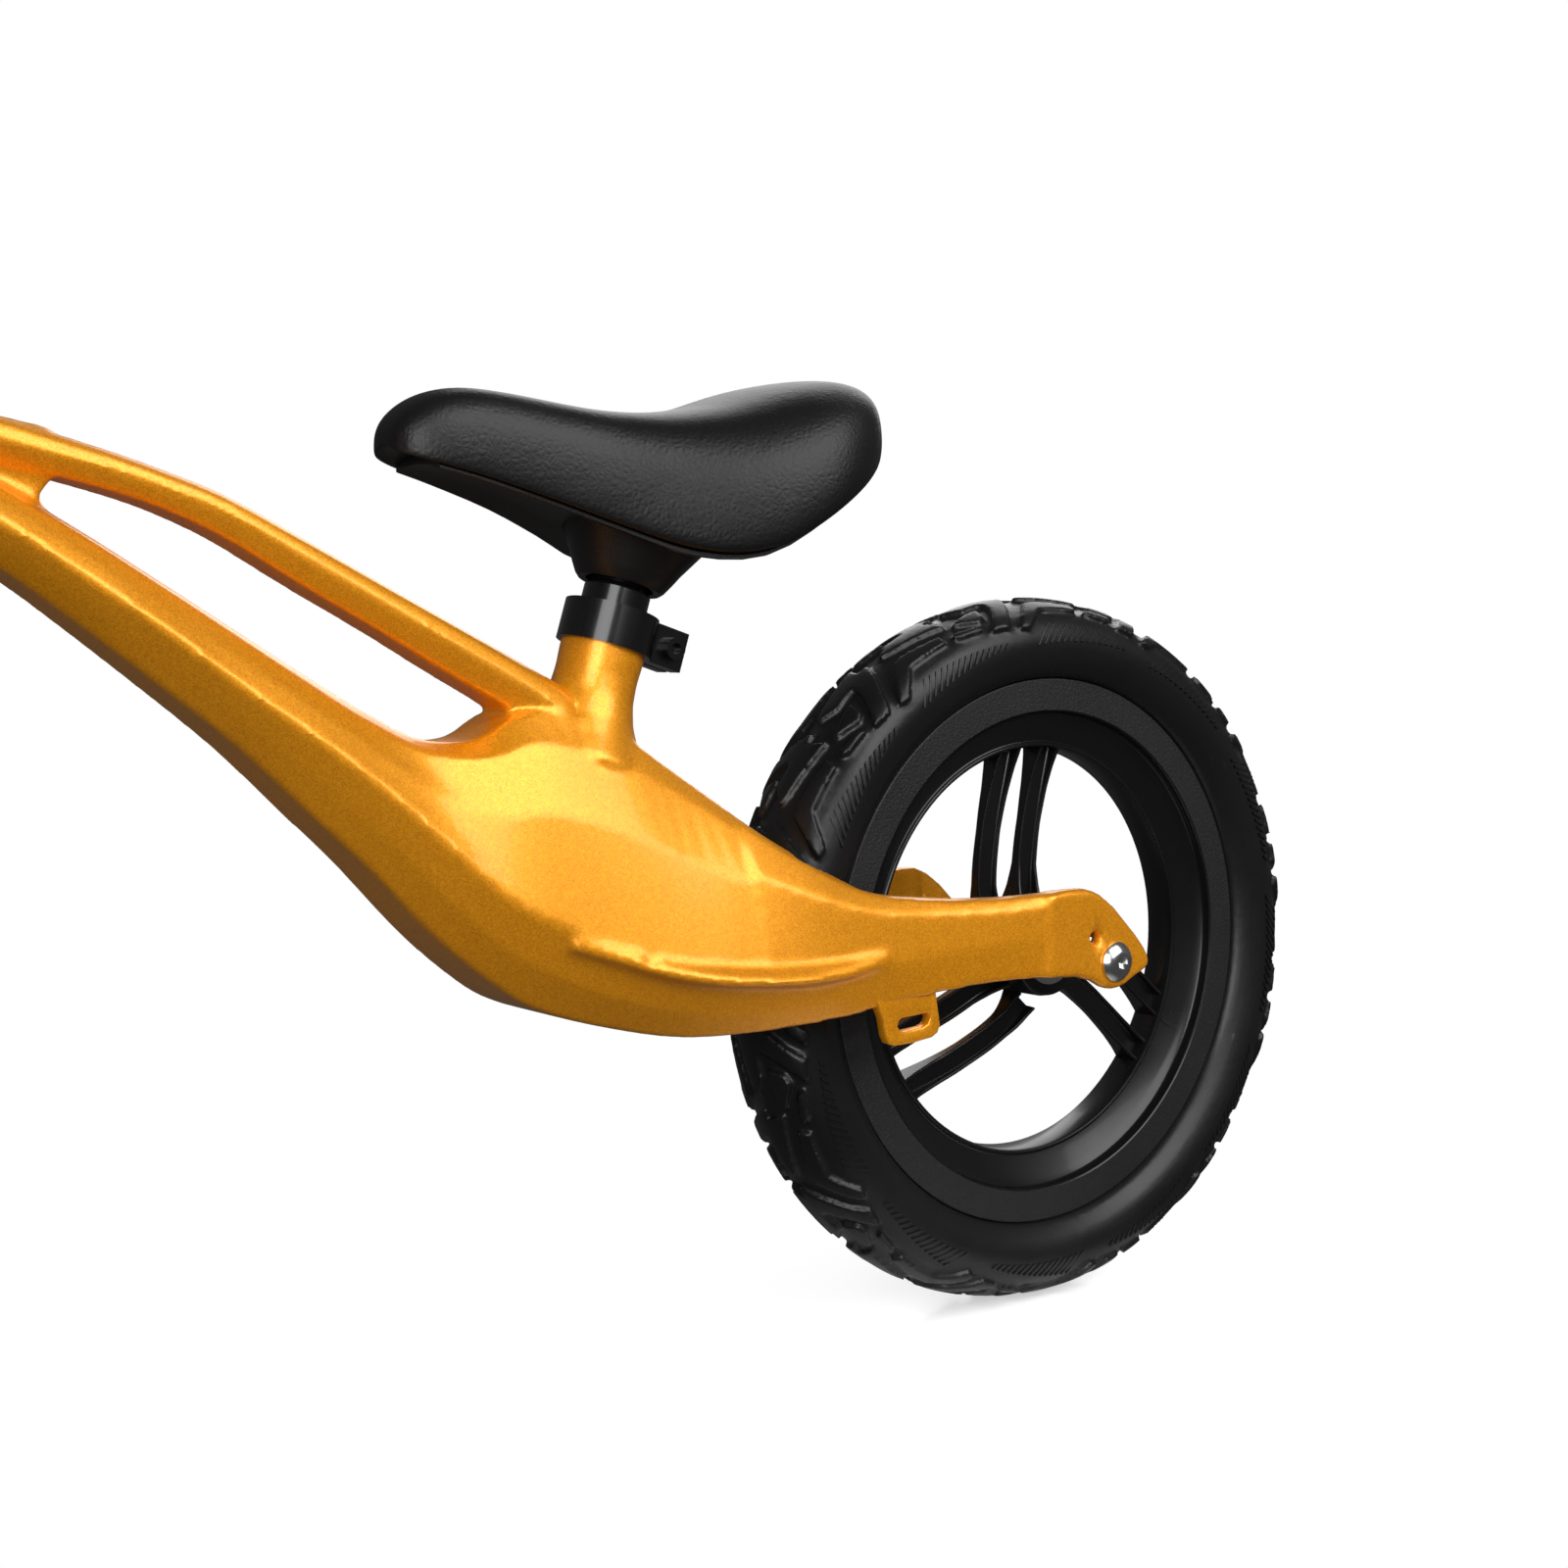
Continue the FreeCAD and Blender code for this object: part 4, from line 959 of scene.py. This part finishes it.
def build_camera():
    forward = Vector((-math.sin(VIEW_YAW) * math.cos(VIEW_PITCH),
                      -math.cos(VIEW_YAW) * math.cos(VIEW_PITCH), -math.sin(VIEW_PITCH)))
    right = Vector((-math.cos(VIEW_YAW), math.sin(VIEW_YAW), 0.0))
    up = right.cross(forward)
    place = REAR_AXLE - forward * AXLE_AHEAD - right * AXLE_RIGHT + up * AXLE_BELOW
    data = bpy.data.cameras.new("Camera")
    data.sensor_width = VIEW_SENSOR
    data.lens = VIEW_LENS
    data.clip_start = 0.01
    data.clip_end = 50.0
    camera = bpy.data.objects.new("Camera", data)
    rotation = Matrix((right, up, -forward)).transposed().to_4x4()
    camera.matrix_world = Matrix.Translation(place * MM) @ rotation
    bpy.context.scene.collection.objects.link(camera)
    bpy.context.scene.camera = camera


def area_light(name, place, target, size, power, color=(1, 1, 1)):
    data = bpy.data.lights.new(name, "AREA")
    data.shape = "RECTANGLE"
    data.size, data.size_y = size
    data.energy = power
    data.color = color
    light = bpy.data.objects.new(name, data)
    way = Vector(target) - Vector(place)
    light.matrix_world = Matrix.Translation(place) @ way.to_track_quat("-Z", "Y").to_matrix().to_4x4()
    bpy.context.scene.collection.objects.link(light)


def build_floor():
    """White floor whose soft shadow and faint reflection fade out with distance."""
    material, tree = new_material("Pale floor")
    shader = tree.nodes["Principled BSDF"]
    shader.inputs["Base Color"].default_value = (0.95, 0.95, 0.95, 1)
    shader.inputs["Roughness"].default_value = 0.22
    glow = node(tree, "ShaderNodeEmission", Color=(1, 1, 1, 1), Strength=1.0)
    place = tree.nodes.new("ShaderNodeTexCoord")
    shift = node(tree, "ShaderNodeMapping")
    shift.inputs["Location"].default_value = (0.28, -0.02, 0.0)
    length = tree.nodes.new("ShaderNodeVectorMath")
    length.operation = "LENGTH"
    fade = node(tree, "ShaderNodeMapRange", From_Min=0.03, From_Max=0.15)
    fade.interpolation_type = "SMOOTHSTEP"
    lift = node(tree, "ShaderNodeEmission", Color=(1, 1, 1, 1), Strength=0.42)
    both = tree.nodes.new("ShaderNodeAddShader")
    path = tree.nodes.new("ShaderNodeLightPath")
    for emission, dim, bright in ((glow, 0.07, 1.0), (lift, 0.03, 0.5)):
        span = node(tree, "ShaderNodeMapRange", To_Min=dim, To_Max=bright)
        tree.links.new(path.outputs["Is Camera Ray"], span.inputs["Value"])
        tree.links.new(span.outputs["Result"], emission.inputs["Strength"])
    mix = tree.nodes.new("ShaderNodeMixShader")
    tree.links.new(place.outputs["Object"], shift.inputs["Vector"])
    tree.links.new(shift.outputs["Vector"], length.inputs[0])
    tree.links.new(length.outputs["Value"], fade.inputs["Value"])
    tree.links.new(fade.outputs["Result"], mix.inputs["Fac"])
    tree.links.new(shader.outputs["BSDF"], both.inputs[0])
    tree.links.new(lift.outputs["Emission"], both.inputs[1])
    tree.links.new(both.outputs["Shader"], mix.inputs[1])
    tree.links.new(glow.outputs["Emission"], mix.inputs[2])
    tree.links.new(mix.outputs["Shader"], tree.nodes["Material Output"].inputs["Surface"])
    bm = bmesh.new()
    bmesh.ops.create_grid(bm, x_segments=1, y_segments=1, size=12.0)
    floor = finish_mesh("Floor", bm, None, material, sharp=0, scale=1.0)


def build_world(strength):
    """White to the camera, dimmer as a light."""
    world = bpy.data.worlds.new("Studio")
    bpy.context.scene.world = world
    world.use_nodes = True
    tree = world.node_tree
    background = tree.nodes["Background"]
    background.inputs["Color"].default_value = (1, 1, 1, 1)
    path = tree.nodes.new("ShaderNodeLightPath")
    span = node(tree, "ShaderNodeMapRange", To_Min=strength, To_Max=1.0)
    tree.links.new(path.outputs["Is Camera Ray"], span.inputs["Value"])
    tree.links.new(span.outputs["Result"], background.inputs["Strength"])


# ------------------------------------------------------------------ operators
class BIKE_OT_frame(bpy.types.Operator):
    """Build the painted casting and its strap tabs"""
    bl_idname = "bike.build_frame"
    bl_label = "Build frame"

    def execute(self, context):
        paint = gold_paint(context.scene.bike_paint.flake)
        build_frame(context.scene.bike_frame, paint)
        build_tabs(paint)
        return {"FINISHED"}


class BIKE_OT_wheels(bpy.types.Operator):
    """Build both rims, both tyres and the axle bolts"""
    bl_idname = "bike.build_wheels"
    bl_label = "Build wheels"

    def execute(self, context):
        settings = context.scene.bike_wheel
        for prefix, axle, face_at, body in (
                ("Rear", REAR_AXLE, DROPOUT_OUTER, "frame_body"),
                ("Front", FRONT_AXLE, FORK_OUTER, "steering_body")):
            build_rim(prefix, axle, settings, black_rim_plastic(), rim_face_plastic())
            build_axle_bolts(prefix, axle, face_at, bright_steel(), body)
        build_tyres(settings, tyre_foam())
        return {"FINISHED"}


class BIKE_OT_saddle(bpy.types.Operator):
    """Build the saddle's cover, base and skirt"""
    bl_idname = "bike.build_saddle"
    bl_label = "Build saddle"

    def execute(self, context):
        settings = context.scene.bike_saddle
        plastic = plain("Black saddle plastic", (0.005, 0.005, 0.0055), 0.42, grain=0.2, scale=700.0)
        build_saddle(settings, saddle_leather(settings.grain), plastic)
        return {"FINISHED"}


class BIKE_OT_steering(bpy.types.Operator):
    """Build the fork and the grips"""
    bl_idname = "bike.build_steering"
    bl_label = "Build steering"

    def execute(self, context):
        build_fork(context.scene.bike_frame, gold_paint(context.scene.bike_paint.flake))
        build_grips(grip_rubber())
        return {"FINISHED"}


class BIKE_OT_fittings(bpy.types.Operator):
    """Give the remaining CAD nodes their finishes"""
    bl_idname = "bike.finish_fittings"
    bl_label = "Finish fittings"

    def execute(self, context):
        wheels = ("rear", "front")
        steel = ["steerer_tube"] + ["saddle_screw_%d" % index for index in range(1, 5)]
        for prefix in wheels:
            steel += ["%s_%s" % (prefix, name) for name in (
                "axle", "bearing_left", "bearing_right", "hub_sleeve", "spacer_left", "spacer_right")]
        paint_nodes(steel, bright_steel())
        paint_nodes(["handlebar", "seat_post", "seat_clamp", "handlebar_clamp", "headset_lower",
                     "headset_upper", "headset_cap", "seat_clamp_bolt", "seat_clamp_nut",
                     "handlebar_clamp_bolt", "handlebar_clamp_nut"], black_alloy())
        return {"FINISHED"}


class BIKE_OT_stage(bpy.types.Operator):
    """Set up the floor, the studio light and the camera"""
    bl_idname = "bike.set_stage"
    bl_label = "Set stage"

    def execute(self, context):
        power = context.scene.bike_stage.key_power
        context.scene.view_settings.view_transform = "Standard"
        build_world(context.scene.bike_stage.fill)
        build_floor()
        area_light("Key", (-0.6, 1.7, 1.5), (-0.1, 0, 0.25), (2.0, 1.6), power)
        area_light("Side", (1.4, 1.7, 0.7), (0.0, 0, 0.25), (1.3, 1.6), power * 0.9)
        area_light("Back", (-1.5, -1.3, 1.2), (-0.1, 0, 0.25), (1.2, 1.2), power * 0.25)
        build_camera()
        return {"FINISHED"}


class BIKE_PT_panel(bpy.types.Panel):
    """Sidebar panel with every setting and step"""
    bl_idname = "BIKE_PT_panel"
    bl_label = "Balance bike"
    bl_space_type = "VIEW_3D"
    bl_region_type = "UI"
    bl_category = "Balance bike"

    def draw(self, context):
        layout = self.layout
        for group, names in (
                ("bike_frame", ("voxel", "smoothing", "steps")),
                ("bike_wheel", ("segments", "pitches", "tread_depth", "voxel")),
                ("bike_saddle", ("subdivision", "grain")),
                ("bike_paint", ("flake",)),
                ("bike_stage", ("key_power", "fill"))):
            for name in names:
                layout.prop(getattr(context.scene, group), name)
        for operator in OPERATORS:
            layout.operator(operator.bl_idname)


GROUPS = (
    ("bike_frame", FrameSettings), ("bike_wheel", WheelSettings), ("bike_saddle", SaddleSettings),
    ("bike_paint", PaintSettings), ("bike_stage", StageSettings),
)
OPERATORS = (BIKE_OT_frame, BIKE_OT_wheels, BIKE_OT_saddle, BIKE_OT_steering, BIKE_OT_fittings,
             BIKE_OT_stage)


def register():
    for name, group in GROUPS:
        bpy.utils.register_class(group)
        setattr(bpy.types.Scene, name, PointerProperty(type=group))
    for item in OPERATORS + (BIKE_PT_panel,):
        bpy.utils.register_class(item)


def unregister():
    for item in reversed(OPERATORS + (BIKE_PT_panel,)):
        bpy.utils.unregister_class(item)
    for name, group in reversed(GROUPS):
        delattr(bpy.types.Scene, name)
        bpy.utils.unregister_class(group)


def main():
    register()
    bpy.ops.bike.build_frame()
    bpy.ops.bike.build_wheels()
    bpy.ops.bike.build_saddle()
    bpy.ops.bike.build_steering()
    bpy.ops.bike.finish_fittings()
    bpy.ops.bike.set_stage()


if __name__ == "__main__":
    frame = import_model()
    main()
